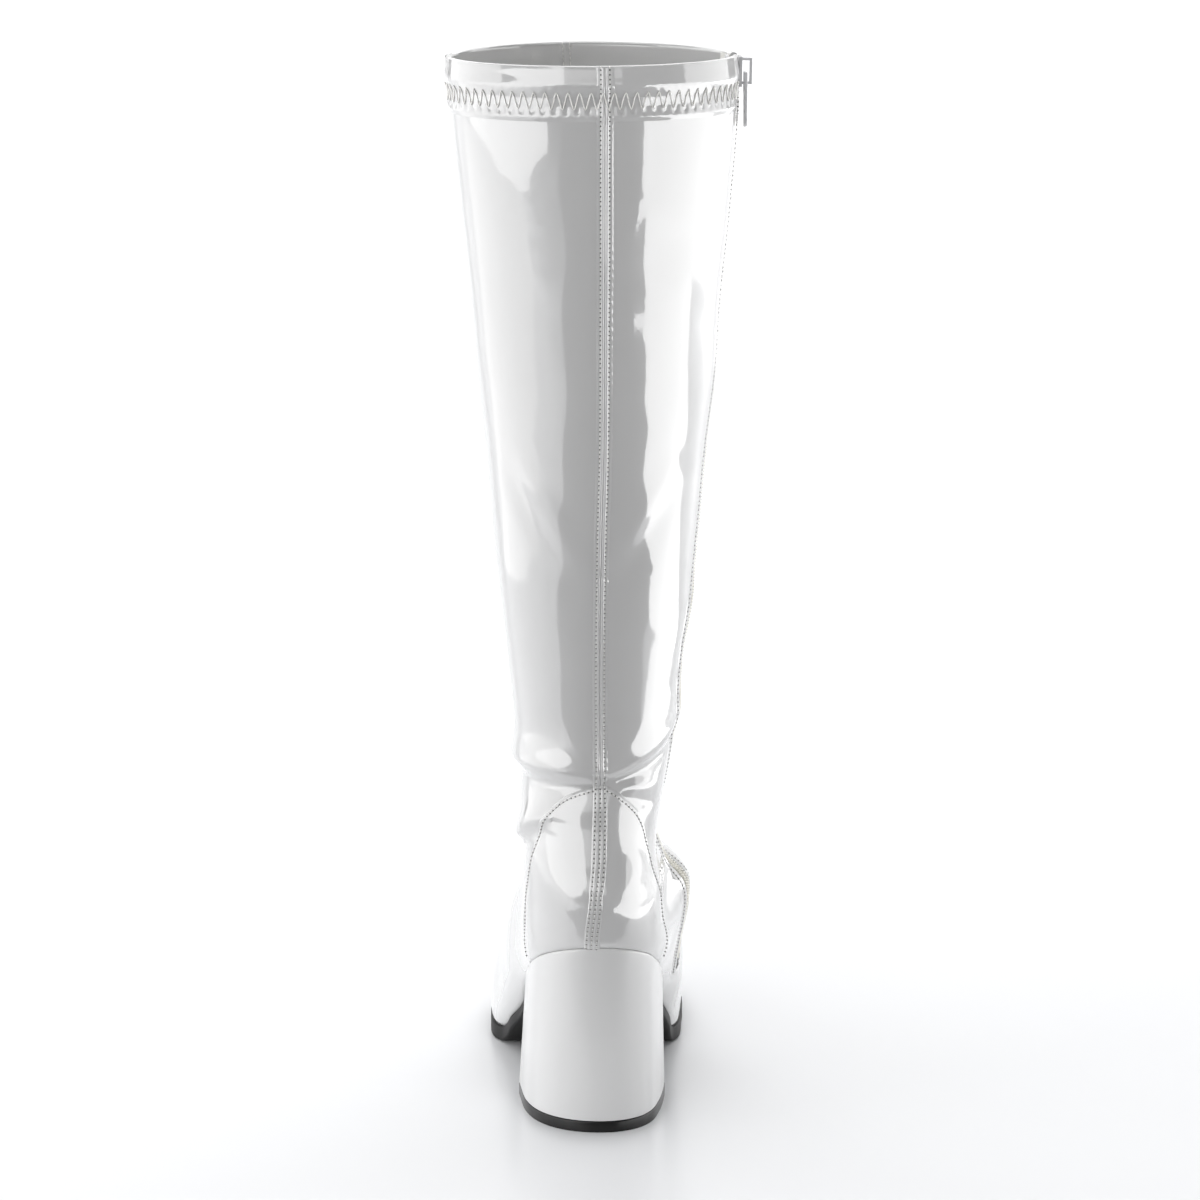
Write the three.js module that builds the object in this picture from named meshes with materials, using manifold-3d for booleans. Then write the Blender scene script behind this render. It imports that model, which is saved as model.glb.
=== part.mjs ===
// A left go-go boot: a knee-high stretch patent upper with a zip down its inner side, a block heel and a thin sole.
// Millimetres. +X runs to the toe, +Y to the wearer's left (the outer side of this boot) and +Z up.
// The origin is on the floor, under the middle of the heel lift.

import * as THREE from 'three';
import { mergeVertices } from 'three/addons/utils/BufferGeometryUtils.js';
import Module from 'manifold-3d';

const wasm = await Module();
wasm.setup();

// Driving sizes of the boot.
const FOOT_LENGTH = 238;
const BALL_WIDTH = 84;
const INSTEP_RISE = 62.8;
const HEEL_HEIGHT = 77.3;
const SHAFT_HEIGHT = 360;
const COLLAR_WIDTH = 117.4;
const COLLAR_DEPTH = 100.8;
const ANKLE_WIDTH = 57;

// Sole, heel and insole.
const SOLE_THICKNESS = 6.5;
const WAIST_THICKNESS = 4;
const TOE_SPRING = 7.5;
const SOLE_RAND = 1;
const HEEL_LENGTH = 57;
const HEEL_BLANK = 16;
const HEEL_FLARE = { outer: 1.11, inner: 1.03 };
const HEEL_PROUD = 0.9;
const BREAST_SLOPE = 5;
const BREAST_HOLLOW = 2.5;
const LIFT_THICKNESS = 4.5;
const LIFT_PROUD = 0.2;
const INSOLE_THICKNESS = 2.5;
const INSOLE_INSET = 2.8;

// Upper: its wall, the turned hem inside the collar, and the steps of its panels and seams.
const WALL = 1.8;
const HEM_HEIGHT = 17;
const HEM_THICKNESS = 1;
const COUNTER_THICKNESS = 0.6;
const SEAM_WIDTH = 6.6;
const SEAM_THICKNESS = 0.5;
const TUCK = 7;

// Zip.
const SLOT_WIDTH = 7;
const COIL_SUNK = 0.5;
const COIL_THICKNESS = 2.4;
const TAPE_WIDTH = 10;
const TAPE_THICKNESS = 0.8;
const SLIDER_LENGTH = 12;
const SLIDER_WIDTH = 9;
const SLIDER_PLATE = 1.2;
const BRIDGE_LENGTH = 10.5;
const BRIDGE_WIDTH = 2;
const BRIDGE_HEIGHT = 4.2;
const BRIDGE_BAR = 1;
const PIVOT_DROP = 1;
const PULL_LENGTH = 22;
const PULL_WIDTH = 5.6;
const PULL_THICKNESS = 1.4;
const PULL_EYE_WIDTH = 3.2;
const PULL_EYE_LENGTH = 6.6;
const PULL_EYE_BAR = 1.2;
const STOP_LENGTH = 3;

// Gap between pieces whose curved or cut faces meet.
const GAP = 0.3;

// Cutting shapes reach past every piece by these lengths.
const CUT_SIDE = 90;
const CUT_BACK = 60;
const CUT_FRONT = 300;
const CUT_DOWN = 40;
const CUT_UP = 140;
const CUT_STEP = 6;
const SEAM_REACH = 30;

// Fineness of the meshes.
const AROUND = 32;
const TOE_STEPS = 6;

// Soft curve through values at whole numbers.
function through(values, t) {
  const last = values.length - 1;
  const i = Math.max(0, Math.min(Math.floor(t), last - 1));
  const u = t - i;
  const before = i > 0 ? values[i - 1] : 2 * values[0] - values[1];
  const after = i + 2 <= last ? values[i + 2] : 2 * values[last] - values[last - 1];
  const slope0 = (values[i + 1] - before) / 2;
  const slope1 = (after - values[i]) / 2;
  const u2 = u * u;
  const u3 = u2 * u;
  return (2 * u3 - 3 * u2 + 1) * values[i] + (u3 - 2 * u2 + u) * slope0
    + (3 * u2 - 2 * u3) * values[i + 1] + (u3 - u2) * slope1;
}

// Value at x on a table of rows, each with an `at`, by straight lines eased at the rows.
function tableAt(rows, key, x) {
  const last = rows.length - 1;
  if (x <= rows[0].at) return rows[0][key];
  if (x >= rows[last].at) return rows[last][key];
  let i = 0;
  while (rows[i + 1].at < x) i += 1;
  const slope = (k) => {
    if (k <= 0 || k >= last) return k <= 0
      ? (rows[1][key] - rows[0][key]) / (rows[1].at - rows[0].at)
      : (rows[last][key] - rows[last - 1][key]) / (rows[last].at - rows[last - 1].at);
    const a = (rows[k][key] - rows[k - 1][key]) / (rows[k].at - rows[k - 1].at);
    const b = (rows[k + 1][key] - rows[k][key]) / (rows[k + 1].at - rows[k].at);
    return a * b <= 0 ? 0 : 2 * a * b / (a + b);
  };
  const span = rows[i + 1].at - rows[i].at;
  const u = (x - rows[i].at) / span;
  const u2 = u * u;
  const u3 = u2 * u;
  return (2 * u3 - 3 * u2 + 1) * rows[i][key] + (u3 - 2 * u2 + u) * span * slope(i)
    + (3 * u2 - 2 * u3) * rows[i + 1][key] + (u3 - u2) * span * slope(i + 1);
}

// Line of the last's bottom, from the heel's back to the toe. at: share of the foot's length.
// pitch: share of the heel's height that is left; spring: share of the toe spring.
const BOTTOM_LINE = [
  { at: 0.000, pitch: 1.000, spring: 0 },
  { at: 0.063, pitch: 0.907, spring: 0 },
  { at: 0.126, pitch: 0.809, spring: 0 },
  { at: 0.189, pitch: 0.713, spring: 0 },
  { at: 0.252, pitch: 0.607, spring: 0 },
  { at: 0.294, pitch: 0.523, spring: 0 },
  { at: 0.336, pitch: 0.428, spring: 0 },
  { at: 0.378, pitch: 0.325, spring: 0 },
  { at: 0.420, pitch: 0.227, spring: 0 },
  { at: 0.462, pitch: 0.136, spring: 0 },
  { at: 0.504, pitch: 0.040, spring: 0 },
  { at: 0.526, pitch: 0.006, spring: 0 },
  { at: 0.550, pitch: 0.000, spring: 0 },
  { at: 0.765, pitch: 0.000, spring: 0 },
  { at: 0.830, pitch: 0.000, spring: 0.13 },
  { at: 0.885, pitch: 0.000, spring: 0.34 },
  { at: 0.945, pitch: 0.000, spring: 0.66 },
  { at: 1.000, pitch: 0.000, spring: 1 },
];

// Height of the sole's top face, where the upper stands.
function soleTop(x) {
  const share = x / FOOT_LENGTH;
  const behind = share < 0 ? -share * (1 - BOTTOM_LINE[1].pitch) / BOTTOM_LINE[1].at : 0;
  const pitch = tableAt(BOTTOM_LINE, 'pitch', share) + behind;
  return SOLE_THICKNESS + (HEEL_HEIGHT - SOLE_THICKNESS) * pitch
    + TOE_SPRING * tableAt(BOTTOM_LINE, 'spring', share);
}

// Edge of the sole. at: share of the foot's length. rand: how far it stands out from the upper, as a share of
// SOLE_RAND. thick: from 0 for the waist's thickness to 1 for the forefoot's.
const SOLE_EDGE = [
  { at: 0.20, rand: -1.0, thick: 0 },
  { at: 0.33, rand: -0.8, thick: 0.1 },
  { at: 0.40, rand: -0.4, thick: 0.35 },
  { at: 0.46, rand: 0.2, thick: 0.65 },
  { at: 0.53, rand: 0.8, thick: 0.95 },
  { at: 0.59, rand: 1.0, thick: 1 },
  { at: 1.00, rand: 1.0, thick: 1 },
];
const TOE_START = 0.78;
const TOE_SQUARE = 2.35;

// Share of its width that the toe still has at x, in a round to square form.
function toeRound(x) {
  const share = Math.max(0, Math.min(1, (x / FOOT_LENGTH - TOE_START) / (1 - TOE_START)));
  return (1 - share ** TOE_SQUARE) ** (1 / TOE_SQUARE);
}

// Sections of the foot, from the heel seat to the toe. at: where the section meets the bottom line, as a share of the
// foot's length. lean: how far ahead its ridge lies, as such a share. rise: the ridge above the sole, as a share of
// INSTEP_RISE. outer, inner: half widths as shares of the ball's width. widest: how far up they lie. crown, base: how
// full the section is above and below that line, 2 for an ellipse and more for a box.
const FOOT_SECTIONS = [
  { at: 0.084, lean: 0.355, rise: 0.631, outer: 0.334, inner: 0.372, widest: 0.36, crown: 2.3, base: 3.2 },
  { at: 0.168, lean: 0.288, rise: 0.683, outer: 0.345, inner: 0.367, widest: 0.36, crown: 2.4, base: 3.8 },
  { at: 0.252, lean: 0.223, rise: 0.750, outer: 0.378, inner: 0.372, widest: 0.36, crown: 2.4, base: 3.4 },
  { at: 0.328, lean: 0.170, rise: 0.841, outer: 0.423, inner: 0.408, widest: 0.36, crown: 2.4, base: 3.0 },
  { at: 0.399, lean: 0.128, rise: 0.927, outer: 0.449, inner: 0.454, widest: 0.34, crown: 2.4, base: 3.0 },
  { at: 0.475, lean: 0.088, rise: 0.992, outer: 0.478, inner: 0.448, widest: 0.32, crown: 2.4, base: 3.6 },
  { at: 0.555, lean: 0.055, rise: 0.975, outer: 0.512, inner: 0.452, widest: 0.28, crown: 2.3, base: 4.8 },
  { at: 0.630, lean: 0.029, rise: 0.868, outer: 0.526, inner: 0.463, widest: 0.25, crown: 2.2, base: 4.0 },
  { at: 0.702, lean: 0.013, rise: 0.756, outer: 0.515, inner: 0.467, widest: 0.25, crown: 2.2, base: 4.0 },
  { at: 0.780, lean: 0.000, rise: 0.655, outer: 0.468, inner: 0.448, widest: 0.27, crown: 2.2, base: 4.0 },
  { at: 1.000, lean: 0.000, rise: 0.430, outer: 0.310, inner: 0.340, widest: 0.32, crown: 2.2, base: 4.0 },
];

// Sections of the ankle, each a plane from the front crease to the back of the heel. frontX, backX: shares of the
// foot's length. frontUp, backUp: heights over the heel seat, as shares of the shaft's height. outer, inner: half
// widths as shares of the ankle's width. turn: how far the section is turned about its middle, in degrees.
const ANKLE_SECTIONS = [
  { frontX: 0.3655, frontUp: 0.2464, backX: 0.0332, backUp: 0.2297, outer: 0.568, inner: 0.602, widest: 0.50, turn: 5 },
  { frontX: 0.3706, frontUp: 0.2131, backX: 0.0336, backUp: 0.1881, outer: 0.544, inner: 0.558, widest: 0.48, turn: 5 },
  { frontX: 0.3782, frontUp: 0.1839, backX: 0.0260, backUp: 0.1464, outer: 0.523, inner: 0.519, widest: 0.46, turn: 4 },
  { frontX: 0.3874, frontUp: 0.1575, backX: 0.0126, backUp: 0.1047, outer: 0.511, inner: 0.478, widest: 0.44, turn: 2.5 },
  { frontX: 0.3983, frontUp: 0.1367, backX: -0.005, backUp: 0.0631, outer: 0.498, inner: 0.464, widest: 0.42, turn: 1 },
  { frontX: 0.4109, frontUp: 0.1172, backX: -0.009, backUp: 0.0242, outer: 0.495, inner: 0.488, widest: 0.40, turn: 0 },
  { frontX: 0.4244, frontUp: 0.1006, backX: 0.0084, backUp: -0.0175, outer: 0.488, inner: 0.500, widest: 0.36, turn: 0 },
];
const ANKLE_BASE = [2.1, 2.1, 2.1, 2.1, 2.1, 2.1, 2.3];
const ANKLE_SHIFT = [0, 0, 0, 0, 0.02, 0.05, 0.05];

// Level sections of the shaft. up: share of the shaft's height over the heel seat. front, back: shares of the
// collar's depth from the shaft's axis. outer, inner: half widths as shares of the collar's width. crown, base: how
// full the front and the back are.
const SHAFT_AXIS = 0.158;
const SHAFT_SECTIONS = [
  { up: 1.0000, front: 0.500, back: 0.500, outer: 0.498, inner: 0.501, widest: 0.46, crown: 1.8, base: 2.0, turn: 7 },
  { up: 0.9240, front: 0.497, back: 0.494, outer: 0.483, inner: 0.495, widest: 0.46, crown: 1.8, base: 2.0, turn: 7 },
  { up: 0.8325, front: 0.493, back: 0.483, outer: 0.454, inner: 0.473, widest: 0.47, crown: 1.9, base: 2.0, turn: 7 },
  { up: 0.7436, front: 0.490, back: 0.468, outer: 0.426, inner: 0.446, widest: 0.48, crown: 1.9, base: 2.0, turn: 6.6 },
  { up: 0.6520, front: 0.489, back: 0.447, outer: 0.403, inner: 0.428, widest: 0.49, crown: 2.0, base: 2.0, turn: 5.8 },
  { up: 0.5600, front: 0.488, back: 0.419, outer: 0.373, inner: 0.395, widest: 0.50, crown: 2.0, base: 2.0, turn: 5 },
  { up: 0.4686, front: 0.485, back: 0.385, outer: 0.349, inner: 0.367, widest: 0.50, crown: 2.1, base: 2.1, turn: 4.8 },
  { up: 0.3740, front: 0.482, back: 0.347, outer: 0.319, inner: 0.341, widest: 0.50, crown: 2.1, base: 2.1, turn: 5 },
  { up: 0.2850, front: 0.484, back: 0.310, outer: 0.290, inner: 0.305, widest: 0.50, crown: 2.1, base: 2.1, turn: 5 },
];

// Every section in one form: its front or top point and its back or bottom point in the XZ plane, and its widths.
function shaftSection(row) {
  const axis = SHAFT_AXIS * FOOT_LENGTH;
  const z = HEEL_HEIGHT + row.up * SHAFT_HEIGHT;
  return {
    frontX: axis + row.front * COLLAR_DEPTH, frontZ: z, backX: axis - row.back * COLLAR_DEPTH, backZ: z,
    outer: row.outer * COLLAR_WIDTH, inner: row.inner * COLLAR_WIDTH,
    widest: row.widest, crown: row.crown, base: row.base, turn: row.turn, shift: 0,
  };
}

function ankleSection(row, index) {
  return {
    frontX: row.frontX * FOOT_LENGTH, frontZ: HEEL_HEIGHT + row.frontUp * SHAFT_HEIGHT,
    backX: row.backX * FOOT_LENGTH, backZ: HEEL_HEIGHT + row.backUp * SHAFT_HEIGHT,
    outer: row.outer * ANKLE_WIDTH, inner: row.inner * ANKLE_WIDTH,
    widest: row.widest, crown: 2.2, base: ANKLE_BASE[index], turn: row.turn,
    shift: ANKLE_SHIFT[index] * ANKLE_WIDTH,
  };
}

function footSection(row) {
  const x = row.at * FOOT_LENGTH;
  return {
    frontX: x + row.lean * FOOT_LENGTH, frontZ: soleTop(x) + row.rise * INSTEP_RISE,
    backX: x, backZ: soleTop(x) - TUCK,
    outer: row.outer * BALL_WIDTH, inner: row.inner * BALL_WIDTH,
    widest: row.widest, crown: row.crown, base: row.base, turn: 0, shift: 0,
  };
}

const SECTIONS = [
  ...SHAFT_SECTIONS.map(shaftSection),
  ...ANKLE_SECTIONS.map(ankleSection),
  ...FOOT_SECTIONS.map(footSection),
];
const TOE_SECTION = SECTIONS.length - 2;
const COLUMNS = Object.fromEntries(Object.keys(SECTIONS[0]).map((key) => [key, SECTIONS.map((s) => s[key])]));

// The stiff zip pushes the inner ankle out. x: share of the foot's length; up: share of the shaft's height over the
// heel seat; out: of the ankle's width; long, above, below: its reach, as shares of the ankle's width.
const ZIP_BULGE = { x: 0.335, up: 0.030, out: 0.195, long: 0.46, above: 0.27, below: 0.60 };

function bulge(x, z) {
  const dx = (x - ZIP_BULGE.x * FOOT_LENGTH) / (ZIP_BULGE.long * ANKLE_WIDTH);
  const rise = z - (HEEL_HEIGHT + ZIP_BULGE.up * SHAFT_HEIGHT);
  const dz = rise / ((rise > 0 ? ZIP_BULGE.above : ZIP_BULGE.below) * ANKLE_WIDTH);
  return ZIP_BULGE.out * ANKLE_WIDTH * Math.exp(-dx * dx - dz * dz);
}

// Point of the upper's outer face. t: place along the sections, from the collar to the toe. angle: 0 at the back or
// bottom, a quarter turn at the outer side, a half turn at the front or top.
function upperPoint(t, angle) {
  const s = {};
  for (const key of Object.keys(COLUMNS)) s[key] = through(COLUMNS[key], t);
  const round = toeRound(s.backX);
  const length = Math.hypot(s.frontX - s.backX, s.frontZ - s.backZ);
  const dir = { x: (s.frontX - s.backX) / length, z: (s.frontZ - s.backZ) / length };
  const middle = s.widest * length;
  const cos = Math.cos(angle);
  const sin = Math.sin(angle);
  const power = 2 / (cos > 0 ? s.base : s.crown);
  const reach = cos > 0 ? middle : length - middle;
  let along = -Math.sign(cos) * reach * Math.abs(cos) ** power * round;
  let across = Math.sign(sin) * (sin > 0 ? s.outer : s.inner) * Math.abs(sin) ** power * round;
  const turn = THREE.MathUtils.degToRad(s.turn);
  [along, across] = [
    along * Math.cos(turn) - across * Math.sin(turn),
    along * Math.sin(turn) + across * Math.cos(turn),
  ];
  across -= s.shift * Math.max(0, cos);
  const point = new THREE.Vector3(
    s.backX + dir.x * (middle + along), across, s.backZ + dir.z * (middle + along),
  );
  if (point.y < 0) {
    const side = Math.min(1, -point.y / (0.5 * s.inner * Math.max(round, 0.01)));
    point.y -= bulge(point.x, point.z) * side * side * (3 - 2 * side);
  }
  return point;
}

// Outward normal of the upper's outer face, from two short steps on it.
function upperNormal(t, angle) {
  const step = 0.01;
  const last = SECTIONS.length - 1;
  const t0 = Math.max(0, t - step);
  const t1 = Math.min(last - 0.001, t + step);
  const alongT = upperPoint(t1, angle).sub(upperPoint(t0, angle));
  const alongAngle = upperPoint(t, angle + step).sub(upperPoint(t, angle - step));
  return alongAngle.cross(alongT).normalize();
}

// Places of the rings along the sections: closer where the boot bends, and bunched up at the toe.
const RINGS = SHAFT_SECTIONS.map((_, t) => t);
for (let t = SHAFT_SECTIONS.length - 0.5; t <= TOE_SECTION; t += 0.5) RINGS.push(t);
for (let k = 1; k < TOE_STEPS; k += 1) RINGS.push(TOE_SECTION + Math.sin((k / TOE_STEPS) * Math.PI / 2));

// Closed solid of the upper's outer form, moved in by `inset` and stretched past the collar by `above`.
function upperSolid(inset, above) {
  const rows = RINGS.map((t) => Array.from({ length: AROUND }, (_, j) => {
    const angle = (j / AROUND) * 2 * Math.PI;
    return upperPoint(t, angle).addScaledVector(upperNormal(t, angle), -inset);
  }));
  if (above > 0) rows.unshift(rows[0].map((p) => p.clone().setZ(p.z + above)));
  const tip = upperPoint(SECTIONS.length - 1, 0).add(new THREE.Vector3(-inset, 0, 0));
  const centre = rows[0].reduce((sum, p) => sum.add(p), new THREE.Vector3()).divideScalar(AROUND);
  const points = [...rows.flat(), centre, tip];
  const at = (i, j) => i * AROUND + (j % AROUND);
  const faces = [];
  for (let i = 0; i < rows.length - 1; i += 1) {
    for (let j = 0; j < AROUND; j += 1) {
      faces.push(at(i, j), at(i + 1, j), at(i + 1, j + 1), at(i, j), at(i + 1, j + 1), at(i, j + 1));
    }
  }
  for (let j = 0; j < AROUND; j += 1) {
    faces.push(rows.length * AROUND, at(0, j), at(0, j + 1));
    faces.push(rows.length * AROUND + 1, at(rows.length - 1, j + 1), at(rows.length - 1, j));
  }
  return solidOf(points, faces);
}

// Solid from points and triangles, turned the right way out.
function solidOf(points, faces) {
  const vertProperties = new Float32Array(points.flatMap((p) => [p.x, p.y, p.z]));
  const make = (list) => new wasm.Manifold(new wasm.Mesh({ numProp: 3, vertProperties, triVerts: new Uint32Array(list) }));
  const solid = make(faces);
  if (solid.volume() > 0) return solid;
  return make(faces.map((v, k) => faces[k - (k % 3) + [0, 2, 1][k % 3]]));
}

// Solid from a three.js geometry.
function solidFrom(geometry) {
  const bare = geometry.index ? geometry.toNonIndexed() : geometry;
  const merged = mergeVertices(new THREE.BufferGeometry().setAttribute('position', bare.getAttribute('position')), 1e-4);
  return new wasm.Manifold(new wasm.Mesh({
    numProp: 3,
    vertProperties: new Float32Array(merged.getAttribute('position').array),
    triVerts: new Uint32Array(merged.index.array),
  }));
}

// Prism over an outline of [x, z] pairs seen from the side, from one y to another.
function sidePrism(outline, y0, y1) {
  const shape = new THREE.Shape(outline.map(([x, z]) => new THREE.Vector2(x, z)));
  const geometry = new THREE.ExtrudeGeometry(shape, { depth: y1 - y0, bevelEnabled: false, curveSegments: 1 });
  return solidFrom(geometry.rotateX(Math.PI / 2).translate(0, y1, 0));
}

// Prism over an outline of [y, z] pairs seen from the back, from one x to another.
function backPrism(outline, x0, x1) {
  const shape = new THREE.Shape(outline.map(([y, z]) => new THREE.Vector2(y, z)));
  const geometry = new THREE.ExtrudeGeometry(shape, { depth: x1 - x0, bevelEnabled: false, curveSegments: 1 });
  return solidFrom(geometry.rotateX(Math.PI / 2).rotateZ(Math.PI / 2).translate(x0, 0, 0));
}

// Prism over an outline of [x, y] pairs seen from above, from one z to another.
function topPrism(outline, z0, z1) {
  const shape = new THREE.Shape(outline.map(([x, y]) => new THREE.Vector2(x, y)));
  const geometry = new THREE.ExtrudeGeometry(shape, { depth: z1 - z0, bevelEnabled: false, curveSegments: 1 });
  return solidFrom(geometry.translate(0, 0, z0));
}

// Place on the upper where its outer face meets the sole's top, on the side of `sign` (1 outer, -1 inner).
function featherPoint(t, sign) {
  let low = 0;
  let high = Math.PI / 2;
  for (let k = 0; k < 30; k += 1) {
    const angle = (low + high) / 2;
    const p = upperPoint(t, sign * angle);
    if (p.z < soleTop(p.x)) low = angle;
    else high = angle;
  }
  const p = upperPoint(t, sign * high);
  return { x: p.x, y: p.y };
}

// Section between t0 and t1 whose lowest point lies on the sole's top.
function featherEnd(t0, t1) {
  const over = (t) => {
    const p = upperPoint(t, 0);
    return p.z > soleTop(p.x);
  };
  const start = over(t0);
  let low = t0;
  let high = t1;
  for (let k = 0; k < 30; k += 1) {
    const t = (low + high) / 2;
    if (over(t) === start) low = t;
    else high = t;
  }
  return (low + high) / 2;
}

// Places for the sole's outline: bunched up at the back of the heel and at the toe.
const HEEL_ROW = SHAFT_SECTIONS.length + ANKLE_SECTIONS.length - 1;
const FEATHER_BACK = featherEnd(HEEL_ROW - 1, HEEL_ROW);
const FEATHER_FRONT = featherEnd(TOE_SECTION, SECTIONS.length - 1);
const BACK_STEPS = 6;
const FEATHER = [];
for (let k = 0; k < BACK_STEPS; k += 1) {
  FEATHER.push(FEATHER_BACK + (HEEL_ROW - FEATHER_BACK) * (k / BACK_STEPS) ** 2);
}
for (let t = HEEL_ROW; t < TOE_SECTION; t += 0.5) FEATHER.push(t);
for (let k = 0; k < TOE_STEPS; k += 1) {
  FEATHER.push(TOE_SECTION + (FEATHER_FRONT - TOE_SECTION) * Math.sin((k / TOE_STEPS) * Math.PI / 2));
}

// The feather line seen from above: the back point, the outer side to the toe, the toe point, the inner side back.
const FEATHER_LINE = [
  featherPoint(FEATHER_BACK, 1),
  ...FEATHER.slice(1).map((t) => featherPoint(t, 1)),
  featherPoint(FEATHER_FRONT, 1),
  ...FEATHER.slice(1).reverse().map((t) => featherPoint(t, -1)),
];

// A closed outline of {x, y} points moved out by amount(x).
function moved(outline, amount) {
  const count = outline.length;
  return outline.map((p, i) => {
    const a = outline[(i + count - 1) % count];
    const b = outline[(i + 1) % count];
    const length = Math.hypot(b.x - a.x, b.y - a.y);
    const out = amount(p.x);
    return { x: p.x - ((b.y - a.y) / length) * out, y: p.y + ((b.x - a.x) / length) * out };
  });
}

// Everything ahead of the heel's hollow, sloping breast, moved ahead by `ahead`.
function aheadOfBreast(ahead) {
  const half = 60;
  const across = 10;
  const low = -20;
  const high = 140;
  const far = FOOT_LENGTH + 40;
  const points = [];
  for (const z of [low, high]) {
    for (let k = 0; k <= across; k += 1) {
      const y = -half + (2 * half * k) / across;
      const hollow = Math.max(0, 1 - (y / (half / 2)) ** 2);
      const x = HEEL_LENGTH + BREAST_SLOPE * (z / HEEL_HEIGHT - 1) - BREAST_HOLLOW * hollow + ahead;
      points.push(new THREE.Vector3(x, y, z));
    }
    points.push(new THREE.Vector3(far, half, z), new THREE.Vector3(far, -half, z));
  }
  const ring = across + 3;
  const faces = [];
  for (let k = 0; k < ring; k += 1) {
    const next = (k + 1) % ring;
    faces.push(k, next, ring + next, k, ring + next, ring + k);
  }
  for (let k = 0; k < across; k += 1) {
    const far0 = k < across / 2 ? ring - 1 : ring - 2;
    faces.push(k, far0, k + 1, ring + k, ring + k + 1, ring + far0);
  }
  faces.push(across / 2, ring - 1, ring - 2, ring + across / 2, 2 * ring - 2, 2 * ring - 1);
  return solidOf(points, faces);
}

// Heel block: from the flared outline on the lift up to a rounded rim that stands proud of the upper.
const HEEL_FRONT = HEEL_LENGTH + HEEL_BLANK;
const heelTop = FEATHER_LINE.filter((p) => p.x < HEEL_FRONT);

function heelRow(outset, drop, onFloor) {
  return moved(heelTop, () => outset).map((p) => {
    const flare = p.y > 0 ? HEEL_FLARE.outer : HEEL_FLARE.inner;
    return onFloor
      ? new THREE.Vector3(p.x, p.y * flare, LIFT_THICKNESS + GAP)
      : new THREE.Vector3(p.x, p.y, soleTop(p.x) - drop);
  });
}

function heelSolid() {
  const rows = [
    heelRow(HEEL_PROUD, 0, true),
    heelRow(HEEL_PROUD, 1.5, false),
    heelRow(HEEL_PROUD * 0.75, 0.5, false),
    heelRow(0, 0, false),
  ];
  const count = heelTop.length;
  const faces = [];
  for (let i = 0; i < rows.length - 1; i += 1) {
    for (let j = 0; j < count; j += 1) {
      const a = i * count + j;
      const b = i * count + ((j + 1) % count);
      faces.push(a, b, b + count, a, b + count, a + count);
    }
  }
  for (const base of [0, (rows.length - 1) * count]) {
    const strip = [];
    for (let j = 0; 2 * j < count - 1; j += 1) {
      const a = base + j;
      const b = base + j + 1;
      const c = base + ((count - j) % count);
      const d = base + count - j - 1;
      if (a !== c) strip.push([a, b, c]);
      if (b !== d) strip.push([c, b, d]);
    }
    faces.push(...strip.flatMap(([a, b, c]) => (base === 0 ? [a, c, b] : [a, b, c])));
  }
  return solidOf(rows.flat(), faces);
}

// Side view of the ground under a line: from the sole's top, moved up by `up`, down past the floor.
function belowSoleTop(up) {
  const outline = [[-CUT_BACK, -CUT_DOWN]];
  for (let x = -CUT_BACK; x <= FOOT_LENGTH + SEAM_REACH; x += CUT_STEP) outline.push([x, soleTop(x) + up]);
  outline.push([FOOT_LENGTH + 30, -40]);
  return sidePrism(outline, -90, 90);
}

// Outsole in side view: the sole's top and, under it, the thickness of the waist and forefoot.
function soleProfile() {
  const top = [];
  const bottom = [];
  for (let share = 0.17; share < 1.04; share += 0.0175) {
    const x = share * FOOT_LENGTH;
    const thick = tableAt(SOLE_EDGE, 'thick', share);
    top.push([x, soleTop(x)]);
    bottom.unshift([x, soleTop(x) - WAIST_THICKNESS - (SOLE_THICKNESS - WAIST_THICKNESS) * thick]);
  }
  return sidePrism([...top, ...bottom], -90, 90);
}

// Line of the zip on the inner side. at: share of the shaft's height over the heel seat; forward: share of the
// foot's length.
const ZIP_LINE = [
  { at: -0.095, forward: 0.378 },
  { at: -0.054, forward: 0.336 },
  { at: 0.008, forward: 0.300 },
  { at: 0.090, forward: 0.257 },
  { at: 0.200, forward: 0.195 },
  { at: 0.350, forward: 0.166 },
  { at: 0.600, forward: 0.160 },
  { at: 1.000, forward: 0.158 },
];
const ZIP_END = ZIP_LINE[0].at;
const zipX = (up) => FOOT_LENGTH * tableAt(ZIP_LINE, 'forward', up);
const zipZ = (up) => HEEL_HEIGHT + SHAFT_HEIGHT * up;

// Prism over a strip beside the zip's line, from one offset to another, between two shares of the shaft's height.
function zipStrip(offset0, offset1, up0, up1) {
  const side0 = [];
  const side1 = [];
  const steps = 22;
  for (let k = 0; k <= steps; k += 1) {
    const up = up0 + (up1 - up0) * (k / steps) ** 1.6;
    const step = 0.004;
    const dx = zipX(up + step) - zipX(up - step);
    const dz = zipZ(up + step) - zipZ(up - step);
    const length = Math.hypot(dx, dz);
    const put = (offset) => [zipX(up) + (dz / length) * offset, zipZ(up) - (dx / length) * offset];
    side0.push(put(offset0));
    side1.unshift(put(offset1));
  }
  return sidePrism([...side0, ...side1], -110, 0);
}

// Place on the inner face of the boot nearest to x and z in side view, and its outward normal.
function innerPlace(x, z) {
  let best = { t: 0.2, angle: -Math.PI / 2 };
  const miss = (c) => {
    const p = upperPoint(Math.max(0, c.t), c.angle);
    return Math.hypot(p.x - x, p.z - z);
  };
  for (let step = 0.5; step > 1e-5; step /= 1.6) {
    for (const dt of [-step, 0, step]) {
      for (const da of [-step, 0, step]) {
        const next = { t: Math.max(0, best.t + dt), angle: best.angle + da };
        if (miss(next) < miss(best)) best = next;
      }
    }
  }
  return { point: upperPoint(best.t, best.angle), normal: upperNormal(best.t, best.angle) };
}

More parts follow.
